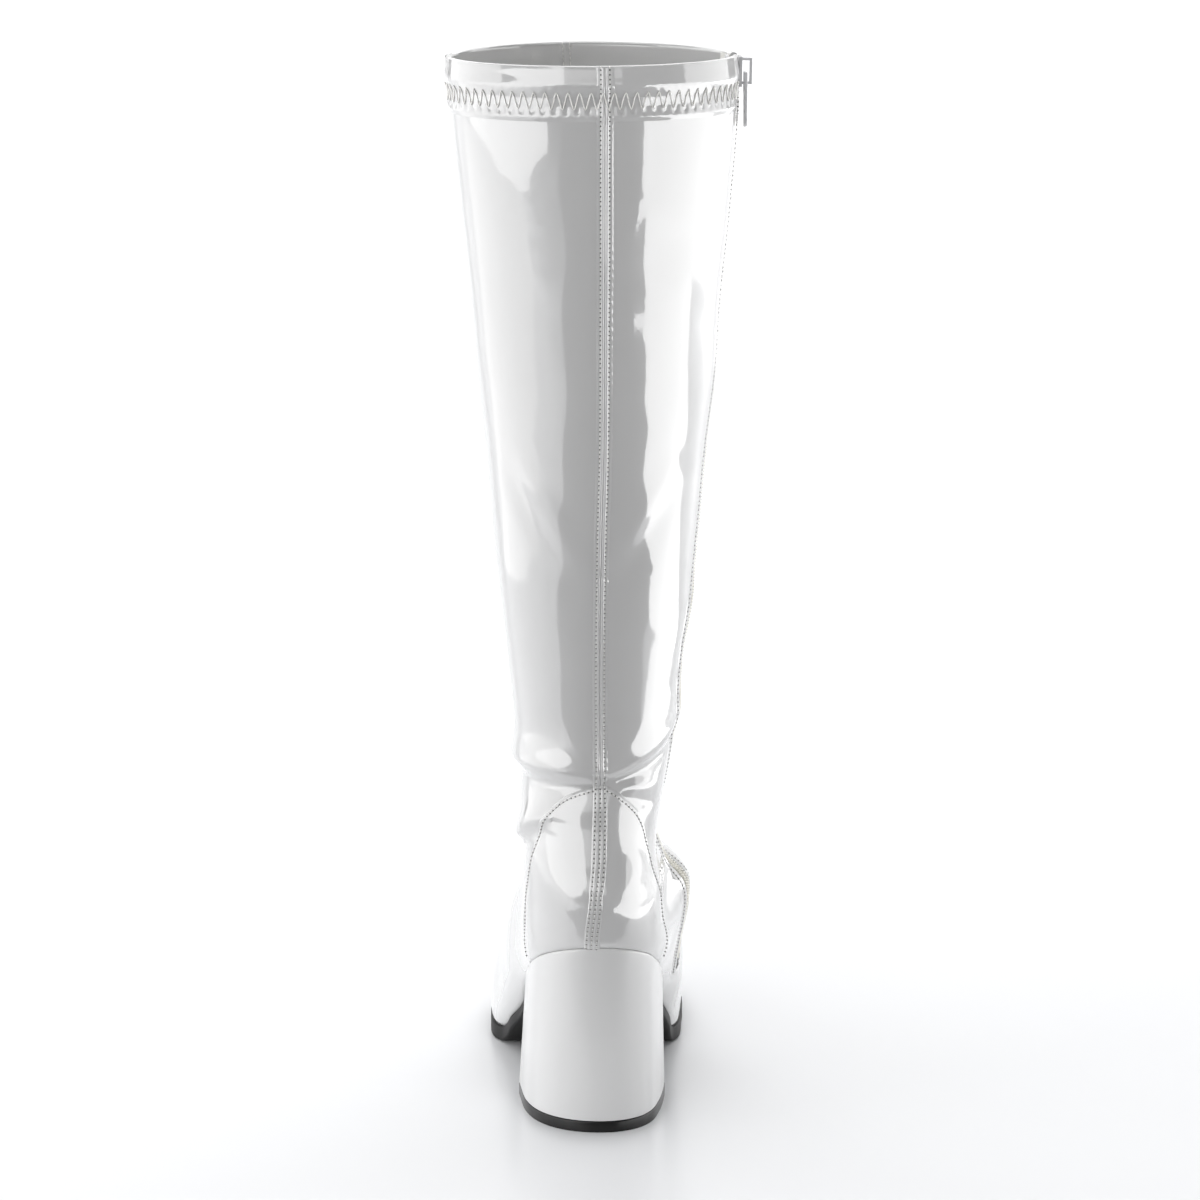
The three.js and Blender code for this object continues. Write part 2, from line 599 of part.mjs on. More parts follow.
// Box from opposite corners.
function box(x0, x1, y0, y1, z0, z1) {
  const geometry = new THREE.BoxGeometry(x1 - x0, y1 - y0, z1 - z0);
  return solidFrom(geometry.translate((x0 + x1) / 2, (y0 + y1) / 2, (z0 + z1) / 2));
}

// Solid built in a local frame of side, up and out, put in its place on the boot.
function placed(solid, side, up, out, point) {
  return solid.transform([
    side.x, side.y, side.z, 0, up.x, up.y, up.z, 0, out.x, out.y, out.z, 0, point.x, point.y, point.z, 1,
  ]);
}

// Forms of the upper that the pieces are cut from.
const COLLAR = HEEL_HEIGHT + SHAFT_HEIGHT;
const OVER = 2;
const HALF_SLOT = SLOT_WIDTH / 2;
const TAPE_OUT = WALL + GAP;
const TAPE_IN = TAPE_OUT + TAPE_THICKNESS;
const TAPE_EDGE = HALF_SLOT + TAPE_WIDTH;
const face = upperSolid(0, 0);
const lined = upperSolid(WALL, OVER);
const ground = belowSoleTop(GAP);

// Counter panel: everything at the back under its seam, one step proud of the rest.
const COUNTER_SEAM = [
  { x: -0.06, up: 0.186 },
  { x: 0.03, up: 0.183 },
  { x: 0.042, up: 0.1714 },
  { x: 0.0546, up: 0.1547 },
  { x: 0.0672, up: 0.1353 },
  { x: 0.0765, up: 0.1144 },
  { x: 0.088, up: 0.0908 },
  { x: 0.104, up: 0.063 },
  { x: 0.126, up: 0.024 },
  { x: 0.15, up: -0.0175 },
  { x: 0.176, up: -0.06 },
  { x: 0.19, up: -0.08 },
];
const counterOutline = COUNTER_SEAM.map((p) => [p.x * FOOT_LENGTH, HEEL_HEIGHT + p.up * SHAFT_HEIGHT]);
counterOutline.push([-20, counterOutline[counterOutline.length - 1][1]]);
const counter = upperSolid(-COUNTER_THICKNESS, 0).intersect(sidePrism(counterOutline, -CUT_SIDE, CUT_SIDE));

// Back seam: a low ridge from the collar to the counter. up: share of the shaft's height over the heel seat; inner:
// how far to the inner side it lies, as a share of the ankle's width.
const SEAM_LINE = [
  { up: -0.03, inner: 0 },
  { up: 0.000, inner: 0 },
  { up: 0.050, inner: 0.028 },
  { up: 0.100, inner: 0.056 },
  { up: 0.170, inner: 0.063 },
  { up: 0.300, inner: 0.060 },
  { up: 0.450, inner: 0.070 },
  { up: 0.600, inner: 0.091 },
  { up: 1.010, inner: 0.097 },
];
const seamEdge = (sign) => SEAM_LINE.map((row) => [
  -row.inner * ANKLE_WIDTH + (sign * SEAM_WIDTH) / 2, HEEL_HEIGHT + row.up * SHAFT_HEIGHT,
]);
const seamOutline = [...seamEdge(1), ...seamEdge(-1).reverse()];
const backSeam = upperSolid(-SEAM_THICKNESS, 0).intersect(backPrism(seamOutline, -CUT_BACK, SEAM_REACH));

// Room inside: the lined shaft, a little narrower inside the hem but not behind the zip.
const underHem = box(-CUT_BACK, CUT_FRONT, -CUT_SIDE, CUT_SIDE, -CUT_DOWN, COLLAR - HEM_HEIGHT);
const room = upperSolid(WALL + HEM_THICKNESS, OVER)
  .add(lined.intersect(underHem))
  .add(lined.intersect(zipStrip(-TAPE_EDGE - GAP, TAPE_EDGE + GAP, 0.9, 1.02)));
const slot = zipStrip(-HALF_SLOT, HALF_SLOT, ZIP_END, 1.02);
const upper = face.add(counter).add(backSeam).subtract(room).subtract(slot).subtract(ground);

// Zip: two tapes behind the slot's edges and the closed coil between them.
const COIL_END = ZIP_END + STOP_LENGTH / SHAFT_HEIGHT + 0.004;
const SLIDER_UP = 1 - (SLIDER_LENGTH / 2 + OVER / 2) / SHAFT_HEIGHT;
const COIL_TOP = SLIDER_UP + 1 / SHAFT_HEIGHT;
const TAPE_TOP = 1 - 1 / SHAFT_HEIGHT;
const behindWall = upperSolid(TAPE_OUT, 0).subtract(upperSolid(TAPE_IN, OVER));
const inSlot = upperSolid(COIL_SUNK, 0).subtract(upperSolid(COIL_SUNK + COIL_THICKNESS, OVER));
const halfCoil = HALF_SLOT - GAP;
const overInsole = belowSoleTop(GAP + INSOLE_THICKNESS + GAP);
const tapeFront = behindWall.intersect(zipStrip(HALF_SLOT, TAPE_EDGE, ZIP_END, TAPE_TOP)).subtract(overInsole);
const tapeBack = behindWall.intersect(zipStrip(-HALF_SLOT, -TAPE_EDGE, ZIP_END, TAPE_TOP)).subtract(overInsole);
const coil = inSlot.intersect(zipStrip(-halfCoil, halfCoil, COIL_END, COIL_TOP));
const stop = inSlot.intersect(zipStrip(-halfCoil, halfCoil, ZIP_END + GAP / SHAFT_HEIGHT, COIL_END - GAP / SHAFT_HEIGHT));

// Slider at the top of the zip: two plates, the post between them and the bridge that carries the pull.
const place = innerPlace(zipX(SLIDER_UP), zipZ(SLIDER_UP));
const out = place.normal;
const side = new THREE.Vector3(0, 0, 1).cross(out).normalize();
const along = out.clone().cross(side);
const halfLength = SLIDER_LENGTH / 2;
const halfWidth = SLIDER_WIDTH / 2;
const plateTop = GAP + SLIDER_PLATE;
const backPlate = TAPE_IN + 3 * GAP;
const bridgeTop = plateTop + BRIDGE_HEIGHT;
const halfBridge = BRIDGE_LENGTH / 2;
const postLength = 2;
const slider = placed(
  box(-halfWidth, halfWidth, -halfLength, halfLength, GAP, plateTop)
    .add(box(-halfWidth, halfWidth, -halfLength, halfLength, -backPlate - SLIDER_PLATE, -backPlate))
    .add(box(-1, 1, postLength, 2 * postLength, -backPlate - SLIDER_PLATE / 2, plateTop - SLIDER_PLATE / 2))
    .add(box(-BRIDGE_WIDTH / 2, BRIDGE_WIDTH / 2, -halfBridge, halfBridge, plateTop - SLIDER_PLATE / 2, bridgeTop))
    .subtract(box(-BRIDGE_WIDTH, BRIDGE_WIDTH, -halfBridge + BRIDGE_BAR, halfBridge - BRIDGE_BAR,
      plateTop, bridgeTop - BRIDGE_BAR)),
  side, along, out, place.point,
);

// Pull: a flat tab with an eye round the bridge, hanging straight down from its bar.
const pivotOut = plateTop + (BRIDGE_HEIGHT - BRIDGE_BAR) / 2;
const pivot = place.point.clone().addScaledVector(out, pivotOut).addScaledVector(along, -PIVOT_DROP);
const level = side.clone().cross(new THREE.Vector3(0, 0, 1)).normalize();

function pullSolid() {
  const w = PULL_WIDTH / 2;
  const top = PULL_EYE_BAR / 2;
  const end = top - PULL_LENGTH;
  const shape = new THREE.Shape();
  shape.moveTo(-w, top);
  shape.lineTo(-w, end + w);
  shape.absarc(0, end + w, w, Math.PI, 2 * Math.PI, false);
  shape.lineTo(w, top);
  const eye = new THREE.Path();
  const e = PULL_EYE_WIDTH / 2;
  eye.moveTo(-e, -top);
  eye.lineTo(e, -top);
  eye.lineTo(e, -top - PULL_EYE_LENGTH);
  eye.lineTo(-e, -top - PULL_EYE_LENGTH);
  shape.holes.push(eye);
  const geometry = new THREE.ExtrudeGeometry(shape, { depth: PULL_THICKNESS, bevelEnabled: false, curveSegments: 8 });
  return solidFrom(geometry.translate(0, 0, -PULL_THICKNESS / 2));
}
const pull = placed(pullSolid(), side, new THREE.Vector3(0, 0, 1), level, pivot);

// Sole, heel, lift and insole.
const soleRand = (x) => SOLE_RAND * tableAt(SOLE_EDGE, 'rand', x / FOOT_LENGTH);
const flat = (outline) => outline.map((p) => [p.x, p.y]);
const outsole = topPrism(flat(moved(FEATHER_LINE, soleRand)), -CUT_DOWN, CUT_UP)
  .intersect(soleProfile())
  .intersect(aheadOfBreast(GAP));
const heel = heelSolid().subtract(aheadOfBreast(0));
const floorRow = moved(heelRow(HEEL_PROUD, 0, true), () => LIFT_PROUD);
const lift = topPrism(flat(floorRow), 0, LIFT_THICKNESS).subtract(aheadOfBreast(0));
const insole = topPrism(flat(moved(FEATHER_LINE, () => -WALL - INSOLE_INSET)), -CUT_DOWN, CUT_UP)
  .intersect(belowSoleTop(GAP + INSOLE_THICKNESS))
  .subtract(belowSoleTop(GAP));

const materials = {
  patent: { color: '#efeeec', metalness: 0, roughness: 0.15 },
  lining: { color: '#c9c8c6', metalness: 0, roughness: 0.8 },
  rubber: { color: '#161514', metalness: 0, roughness: 0.35 },
  tape: { color: '#e6e0d2', metalness: 0, roughness: 0.8 },
  coil: { color: '#e2d9c4', metalness: 0, roughness: 0.4 },
  metal: { color: '#9b9b9d', metalness: 1, roughness: 0.3 },
};

const group = new THREE.Group();
group.name = 'go_go_boot';

function put(name, solid, slot) {
  const mesh = solid.getMesh();
  const geometry = new THREE.BufferGeometry();
  geometry.setAttribute('position', new THREE.BufferAttribute(new Float32Array(mesh.vertProperties), 3));
  geometry.setIndex(new THREE.BufferAttribute(new Uint32Array(mesh.triVerts), 1));
  geometry.translate(-HEEL_LENGTH / 2, 0, 0);
  const part = new THREE.Mesh(geometry.toNonIndexed(), new THREE.MeshStandardMaterial(materials[slot]));
  part.geometry.computeVertexNormals();
  part.name = name;
  group.add(part);
}

put('upper', upper, 'patent');
put('insole', insole, 'lining');
put('outsole', outsole, 'rubber');
put('heel_block', heel, 'patent');
put('heel_lift', lift, 'rubber');
put('zip_tape_front', tapeFront, 'tape');
put('zip_tape_back', tapeBack, 'tape');
put('zip_coil', coil, 'coil');
put('zip_bottom_stop', stop, 'metal');
put('zip_slider', slider, 'metal');
put('zip_pull', pull, 'metal');

export default group;
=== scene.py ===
# %% [markdown]
# # A knee-high patent go-go boot
# The boot is a left one, seen from behind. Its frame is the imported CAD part: a closed upper with a real
# wall, a block heel, a lift, an outsole, an insole and a zip. This script dresses that part: it makes the
# glossy skin, the seams and the stitches, and then a plain studio. All lengths below are in millimetres,
# as on a maker's drawing, and turned to metres where a mesh is made.

# %% Set up
import math

import bmesh
import bpy
import numpy as np
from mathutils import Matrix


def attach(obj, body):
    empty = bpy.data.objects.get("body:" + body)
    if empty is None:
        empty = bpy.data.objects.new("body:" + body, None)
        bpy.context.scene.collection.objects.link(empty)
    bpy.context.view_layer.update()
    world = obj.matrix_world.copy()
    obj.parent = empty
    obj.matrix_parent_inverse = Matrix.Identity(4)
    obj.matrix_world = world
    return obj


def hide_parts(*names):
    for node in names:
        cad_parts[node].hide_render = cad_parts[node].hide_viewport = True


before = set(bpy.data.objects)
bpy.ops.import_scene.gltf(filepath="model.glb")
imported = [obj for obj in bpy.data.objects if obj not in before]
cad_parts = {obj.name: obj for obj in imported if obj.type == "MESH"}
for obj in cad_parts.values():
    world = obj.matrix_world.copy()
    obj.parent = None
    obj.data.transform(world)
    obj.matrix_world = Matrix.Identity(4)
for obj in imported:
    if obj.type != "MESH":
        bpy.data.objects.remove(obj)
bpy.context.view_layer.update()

MM = 0.001
# The part's frame has its origin this far ahead of the heel's back.
ORIGIN_X = 28.5
BOOT = "boot"
PULL = "pull_tab"

# %% [markdown]
# ## The last's own curves
# A boot is lasted over a foot form. The part's solids come from a few tables of sections of that form,
# each given as shares of named sizes. The same tables are used here with many more rings, so that the skin
# lies on the solids and shows no facets. Sculpting would give the folds faster, but would lose the sizes.

# %% Sizes of the boot
FOOT_LENGTH = 238
BALL_WIDTH = 84
INSTEP_RISE = 62.8
HEEL_HEIGHT = 77.3
SHAFT_HEIGHT = 360
COLLAR_WIDTH = 117.4
COLLAR_DEPTH = 100.8
ANKLE_WIDTH = 57
COLLAR = HEEL_HEIGHT + SHAFT_HEIGHT
SOLE_THICKNESS = 6.5
WAIST_THICKNESS = 4
TOE_SPRING = 7.5
SOLE_RAND = 1
TUCK = 7
GAP = 0.3
WALL = 1.8
HEM_HEIGHT = 17
HEM_THICKNESS = 1

# %% Tables of the form
BOTTOM_LINE = {
    "at": [0, .063, .126, .189, .252, .294, .336, .378, .42, .462, .504, .526, .55, .765, .83, .885, .945, 1],
    "pitch": [1, .907, .809, .713, .607, .523, .428, .325, .227, .136, .04, .006, 0, 0, 0, 0, 0, 0],
    "spring": [0, 0, 0, 0, 0, 0, 0, 0, 0, 0, 0, 0, 0, 0, .13, .34, .66, 1],
}
SOLE_EDGE = {
    "at": [.2, .33, .4, .46, .53, .59, 1],
    "rand": [-1, -.8, -.4, .2, .8, 1, 1],
    "thick": [0, .1, .35, .65, .95, 1, 1],
}
# Level sections of the shaft: height, front, back, outer, inner, widest, crown, base, turn.
SHAFT_ROWS = [
    (1.0000, .500, .500, .498, .501, .46, 1.8, 2.0, 7),
    (0.9240, .497, .494, .483, .495, .46, 1.8, 2.0, 7),
    (0.8325, .493, .483, .454, .473, .47, 1.9, 2.0, 7),
    (0.7436, .490, .468, .426, .446, .48, 1.9, 2.0, 6.6),
    (0.6520, .489, .447, .403, .428, .49, 2.0, 2.0, 5.8),
    (0.5600, .488, .419, .373, .395, .50, 2.0, 2.0, 5),
    (0.4686, .485, .385, .349, .367, .50, 2.1, 2.1, 4.8),
    (0.3740, .482, .347, .319, .341, .50, 2.1, 2.1, 5),
    (0.2850, .484, .310, .290, .305, .50, 2.1, 2.1, 5),
]
# Ankle: front x, front height, back x, back height, outer, inner, widest, turn, base, shift.
ANKLE_ROWS = [
    (.3655, .2464, .0332, .2297, .568, .602, .50, 5, 2.1, 0),
    (.3706, .2131, .0336, .1881, .544, .558, .48, 5, 2.1, 0),
    (.3782, .1839, .0260, .1464, .523, .519, .46, 4, 2.1, 0),
    (.3874, .1575, .0126, .1047, .511, .478, .44, 2.5, 2.1, 0),
    (.3983, .1367, -.005, .0631, .498, .464, .42, 1, 2.1, .02),
    (.4109, .1172, -.009, .0242, .495, .488, .40, 0, 2.1, .05),
    (.4244, .1006, .0084, -.0175, .488, .500, .36, 0, 2.3, .05),
]
# Foot: place, lean, rise, outer, inner, widest, crown, base.
FOOT_ROWS = [
    (.084, .355, .631, .334, .372, .36, 2.3, 3.2),
    (.168, .288, .683, .345, .367, .36, 2.4, 3.8),
    (.252, .223, .750, .378, .372, .36, 2.4, 3.4),
    (.328, .170, .841, .423, .408, .36, 2.4, 3.0),
    (.399, .128, .927, .449, .454, .34, 2.4, 3.0),
    (.475, .088, .992, .478, .448, .32, 2.4, 3.6),
    (.555, .055, .975, .512, .452, .28, 2.3, 4.8),
    (.630, .029, .868, .526, .463, .25, 2.2, 4.0),
    (.702, .013, .756, .515, .467, .25, 2.2, 4.0),
    (.780, .000, .655, .468, .448, .27, 2.2, 4.0),
    (1.00, .000, .430, .310, .340, .32, 2.2, 4.0),
]
SHAFT_AXIS = .158
TOE_START = .78
TOE_SQUARE = 2.35
ZIP_BULGE = {"x": .335, "up": .030, "out": .195, "long": .46, "above": .27, "below": .60}

# %% Curves through tables
def through(values, t):
    """Soft curve through values at whole numbers."""
    values = np.asarray(values, float)
    last = len(values) - 1
    i = np.clip(np.floor(t).astype(int), 0, last - 1)
    u = t - i
    padded = np.concatenate([[2 * values[0] - values[1]], values, [2 * values[-1] - values[-2]]])
    before, start, end, after = padded[i], padded[i + 1], padded[i + 2], padded[i + 3]
    slope0 = (end - before) / 2
    slope1 = (after - start) / 2
    return ((2 * u**3 - 3 * u**2 + 1) * start + (u**3 - 2 * u**2 + u) * slope0
            + (3 * u**2 - 2 * u**3) * end + (u**3 - u**2) * slope1)


def table_at(table, key, x):
    """Value at x on a table, by a curve that never overshoots its rows."""
    at = np.asarray(table["at"], float)
    value = np.asarray(table[key], float)
    step = np.diff(value) / np.diff(at)
    product = step[:-1] * step[1:]
    total = np.where(np.abs(step[:-1] + step[1:]) < 1e-12, 1, step[:-1] + step[1:])
    inner = np.where(product <= 0, 0, 2 * product / total)
    slope = np.concatenate([[step[0]], inner, [step[-1]]])
    x = np.clip(x, at[0], at[-1])
    i = np.clip(np.searchsorted(at, x, side="right") - 1, 0, len(at) - 2)
    span = at[i + 1] - at[i]
    u = (x - at[i]) / span
    return ((2 * u**3 - 3 * u**2 + 1) * value[i] + (u**3 - 2 * u**2 + u) * span * slope[i]
            + (3 * u**2 - 2 * u**3) * value[i + 1] + (u**3 - u**2) * span * slope[i + 1])


def sole_top(x):
    """Height of the sole's top face, where the upper stands."""
    share = np.asarray(x, float) / FOOT_LENGTH
    behind = np.maximum(0, -share) * (1 - BOTTOM_LINE["pitch"][1]) / BOTTOM_LINE["at"][1]
    pitch = table_at(BOTTOM_LINE, "pitch", share) + behind
    return (SOLE_THICKNESS + (HEEL_HEIGHT - SOLE_THICKNESS) * pitch
            + TOE_SPRING * table_at(BOTTOM_LINE, "spring", share))


print("heel seat", round(float(sole_top(0)), 1), "ball", round(float(sole_top(150)), 1))

# %% Sections as columns
FOOT_CROWN = 2.2


def section_columns():
    """The three tables in millimetres, as one column for each quantity."""
    rows = []
    axis = SHAFT_AXIS * FOOT_LENGTH
    for up, front, back, outer, inner, widest, crown, base, turn in SHAFT_ROWS:
        z = HEEL_HEIGHT + up * SHAFT_HEIGHT
        rows.append((axis + front * COLLAR_DEPTH, z, axis - back * COLLAR_DEPTH, z, outer * COLLAR_WIDTH,
                     inner * COLLAR_WIDTH, widest, crown, base, turn, 0))
    for fx, fz, bx, bz, outer, inner, widest, turn, base, shift in ANKLE_ROWS:
        rows.append((fx * FOOT_LENGTH, HEEL_HEIGHT + fz * SHAFT_HEIGHT, bx * FOOT_LENGTH,
                     HEEL_HEIGHT + bz * SHAFT_HEIGHT, outer * ANKLE_WIDTH, inner * ANKLE_WIDTH,
                     widest, FOOT_CROWN, base, turn, shift * ANKLE_WIDTH))
    for at, lean, rise, outer, inner, widest, crown, base in FOOT_ROWS:
        x = at * FOOT_LENGTH
        top = float(sole_top(x))
        rows.append((x + lean * FOOT_LENGTH, top + rise * INSTEP_RISE, x, top - TUCK, outer * BALL_WIDTH,
                     inner * BALL_WIDTH, widest, crown, base, 0, 0))
    return np.array(rows).T


COLUMNS = section_columns()
LAST = COLUMNS.shape[1] - 1
TOE_ROW = LAST - 1
HEEL_ROW = len(SHAFT_ROWS) + len(ANKLE_ROWS) - 1
print("sections", LAST + 1)
print("highest", COLUMNS[1].max().round(1), "toe at", COLUMNS[2].max().round(1))

# %% The form's surface
def form_point(t, a):
    """Point of the outer face: t runs down the boot, a is 0 at the back and a quarter turn outside."""
    t, a = np.broadcast_arrays(np.asarray(t, float), np.asarray(a, float))
    fx, fz, bx, bz, outer, inner, widest, crown, base, turn, shift = (through(c, t) for c in COLUMNS)
    toe = np.clip((bx / FOOT_LENGTH - TOE_START) / (1 - TOE_START), 0, 1)
    round_off = (1 - toe**TOE_SQUARE) ** (1 / TOE_SQUARE)
    length = np.hypot(fx - bx, fz - bz)
    dx, dz = (fx - bx) / length, (fz - bz) / length
    middle = widest * length
    cos, sin = np.cos(a), np.sin(a)
    power = 2 / np.where(cos > 0, base, crown)
    reach = np.where(cos > 0, middle, length - middle)
    along = -np.sign(cos) * reach * np.abs(cos) ** power * round_off
    across = np.sign(sin) * np.where(sin > 0, outer, inner) * np.abs(sin) ** power * round_off
    turn = np.radians(turn)
    along, across = (along * np.cos(turn) - across * np.sin(turn),
                     along * np.sin(turn) + across * np.cos(turn))
    across = across - shift * np.maximum(0, cos)
    x = bx + dx * (middle + along)
    z = bz + dz * (middle + along)
    bulge_x = (x - ZIP_BULGE["x"] * FOOT_LENGTH) / (ZIP_BULGE["long"] * ANKLE_WIDTH)
    rise = z - (HEEL_HEIGHT + ZIP_BULGE["up"] * SHAFT_HEIGHT)
    bulge_z = rise / (np.where(rise > 0, ZIP_BULGE["above"], ZIP_BULGE["below"]) * ANKLE_WIDTH)
    bulge = ZIP_BULGE["out"] * ANKLE_WIDTH * np.exp(-bulge_x**2 - bulge_z**2)
    side = np.clip(-across / (0.5 * inner * np.maximum(round_off, 0.01)), 0, 1)
    y = across - bulge * side**2 * (3 - 2 * side)
    return np.stack([x, y, z], -1)


def form_normal(t, a):
    """Unit normal of the form, pointing away from the foot."""
    step = 0.01
    t0 = np.maximum(0, np.asarray(t, float) - step)
    t1 = np.minimum(LAST - 0.001, np.asarray(t, float) + step)
    down = form_point(t1, a) - form_point(t0, a)
    round_ = form_point(t, a + step) - form_point(t, a - step)
    n = np.cross(round_, down)
    return n / np.maximum(np.linalg.norm(n, axis=-1, keepdims=True), 1e-9)


print("collar's back", form_point(0.0, 0.0).round(1), "collar's front", form_point(0.0, math.pi).round(1))

# %% [markdown]
# ## Folds
# Stretch patent is a thin gloss film on knit. It buckles where the ankle bends and where the seams pull.
# Cloth simulation would give folds anywhere. Here each main crease is placed as a soft trough or
# ridge, along a line given as turn round the leg and height, because its place is part of the boot's look.

# %% Creases
# Each: height of the ridge (a trough is negative), half widths above and below, and the line as (degrees
# from the back, height).
CREASES = [
    (2.3, 8.5, 2.4, [(8, 148.2), (40, 148.8), (75, 149), (110, 149), (145, 150)]),
    (-1.6, 1.5, 7.0, [(5, 143.4), (30, 143.4), (60, 142.6), (85, 143), (120, 144)]),
    (2.8, 7.0, 2.6, [(44, 128.5), (61, 124.6), (78, 119), (100, 114)]),
    (-1.2, 1.8, 5.0, [(44, 123), (61, 119.5), (78, 114.5), (98, 109)]),
    (1.1, 8.0, 3.4, [(-6, 149), (-30, 153.5), (-55, 160), (-80, 168)]),
    (-1.0, 2.2, 4.5, [(-4, 144), (-18, 147), (-36, 149.5), (-57, 154), (-78, 159)]),
    (0.4, 3.0, 3.0, [(-12, 142.5), (-30, 141.5), (-52, 140)]),
    (-0.4, 2.4, 3.2, [(-20, 138.5), (-36, 135.5), (-58, 133)]),
    (-1.2, 6.0, 6.0, [(52, 270), (38, 252), (24, 238), (13, 226)]),
    (1.0, 5.0, 5.0, [(42, 276), (26, 254), (15, 240)]),
    (-1.0, 6.0, 6.0, [(-50, 270), (-34, 255), (-20, 240), (-10, 229)]),
    (0.8, 5.0, 5.0, [(-40, 276), (-24, 258), (-12, 244)]),
    (-0.25, 1.2, 1.2, [(14, 234), (-4, 231), (-28, 232)]),
    (0.8, 9.0, 9.0, [(-74, 216), (-92, 214), (-112, 216)]),
    (-0.7, 8.0, 8.0, [(-74, 196), (-92, 192), (-112, 194)]),
    (0.8, 8.0, 8.0, [(-72, 172), (-92, 170), (-112, 172)]),
]


WAVES_FROM = 165
WAVE_LONG = 0.30
WAVE_SHORT = 0.07


def wrapped(a):
    """Degrees from the back, positive to the outer side."""
    return (np.degrees(a) + 180) % 360 - 180


def slow_waves(degrees, z):
    """The film's own waviness on the shaft, which bends the edges of reflections."""
    turn = np.radians(degrees)
    behind = 0.5 + 0.5 * np.cos(turn)
    weight = behind * np.clip((z - WAVES_FROM) / 40, 0, 1) * np.clip((COLLAR - 24 - z) / 20, 0, 1)
    long_wave = np.sin(z / 13.0 + 2.1 * np.sin(1.7 * turn + 0.6)) * np.sin(2.3 * turn + z / 31.0)
    short_wave = np.sin(z / 6.1 + 1.4 * np.sin(2.9 * turn + 1.9)) * np.sin(5.2 * turn - z / 17.0)
    return weight * (WAVE_LONG * long_wave + WAVE_SHORT * short_wave)


def folds(t, a, p):
    """How far the skin stands out from the form."""
    degrees = wrapped(a)
    around = np.maximum(20, through(COLUMNS[4], t)) * math.pi / 180
    height = slow_waves(degrees, p[..., 2])
    for size, above, below, line in CREASES:
        best = np.full(height.shape, 1e9)
        place = np.zeros(height.shape)
        upper_side = np.zeros(height.shape, bool)
        count = len(line) - 1
        for k in range(count):
            ax, az = line[k]
            bx, bz = line[k + 1]
            vx, vz = (bx - ax) * around, bz - az
            wx, wz = (degrees - ax) * around, p[..., 2] - az
            u = np.clip((wx * vx + wz * vz) / (vx * vx + vz * vz), 0, 1)
            far = np.hypot(wx - u * vx, wz - u * vz)
            near = far < best
            best = np.where(near, far, best)
            place = np.where(near, (k + u) / count, place)
            upper_side = np.where(near, wz > u * vz, upper_side)
        taper = np.sqrt(np.clip(np.sin(np.pi * (0.06 + 0.88 * place)), 0, 1))
        height = height + size * taper * np.exp(-((best / np.where(upper_side, above, below)) ** 2))
    return height


def skin(t, a, lift=0.0):
    """Point of the real skin, lifted by so many millimetres."""
    p = form_point(t, a)
    n = form_normal(t, a)
    return p + n * (folds(t, a, p) + lift)[..., None]


print("creases", len(CREASES))

# %% [markdown]
# ## Making meshes
# Every piece here is either a grid rolled over the form or a plan outline raised to a height. Small
# functions turn such points into objects at the origin, in metres, with smooth faces, and cut one closed
# piece with another. Numbers give clean rows of faces, which a mesh modelled by hand seldom has.

# %% Mesh helpers
def to_row(points):
    """Millimetres with x from the heel's back, to metres in the part's frame."""
    points = np.asarray(points, float) - np.array([ORIGIN_X, 0, 0])
    return points * MM


def linked(name, data):
    """An object with this data, in the scene."""
    made = bpy.data.objects.new(name, data)
    bpy.context.scene.collection.objects.link(made)
    return made


def smooth_faces(mesh, sharp=None):
    """Shades every face smooth, with edges over `sharp` degrees kept sharp."""
    for polygon in mesh.polygons:
        polygon.use_smooth = True
    if sharp is not None:
        mesh.set_sharp_from_angle(angle=math.radians(sharp))


def new_piece(name, points, faces, material):
    """A smooth piece of the boot from points in millimetres."""
    mesh = bpy.data.meshes.new(name)
    outward = [tuple(int(i) for i in face)[::-1] for face in faces]
    mesh.from_pydata([tuple(p) for p in to_row(points)], [], outward)
    mesh.materials.append(material)
    smooth_faces(mesh)
    piece = linked(name, mesh)
    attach(piece, BOOT)
    return piece


def grid_faces(rows, cols, closed=False, start=0, flip=False):
    """Four-sided faces between rows of points; closed joins the last column to the first."""
    i, j = np.meshgrid(np.arange(rows - 1), np.arange(cols if closed else cols - 1), indexing="ij")
    nxt = (j + 1) % cols
    quads = np.stack([i * cols + j, (i + 1) * cols + j, (i + 1) * cols + nxt, i * cols + nxt], -1)
    quads = quads.reshape(-1, 4)
    if flip:
        quads = quads[:, ::-1]
    return quads + start


def apply_modifiers(piece):
    """Turns the evaluated object into a plain mesh."""
    graph = bpy.context.evaluated_depsgraph_get()
    mesh = bpy.data.meshes.new_from_object(piece.evaluated_get(graph))
    piece.modifiers.clear()
    piece.data = mesh


def cut_with(piece, points, faces):
    """Takes a closed shape, given in millimetres, away from a closed piece."""
    mesh = bpy.data.meshes.new("cutter")
    mesh.from_pydata([tuple(p) for p in to_row(points)], [], faces)
    bm = bmesh.new()
    bm.from_mesh(mesh)
    bmesh.ops.recalc_face_normals(bm, faces=bm.faces)
    bm.to_mesh(mesh)
    bm.free()
    cutter = linked("cutter", mesh)
    cut = piece.modifiers.new("cut", "BOOLEAN")
    cut.object = cutter
    cut.operation = "DIFFERENCE"
    cut.solver = "MANIFOLD"
    apply_modifiers(piece)
    bpy.data.objects.remove(cutter)


def running_length(points):
    """Length along the points up to each of them."""
    return np.concatenate([[0], np.cumsum(np.linalg.norm(np.diff(points, axis=0), axis=1))])


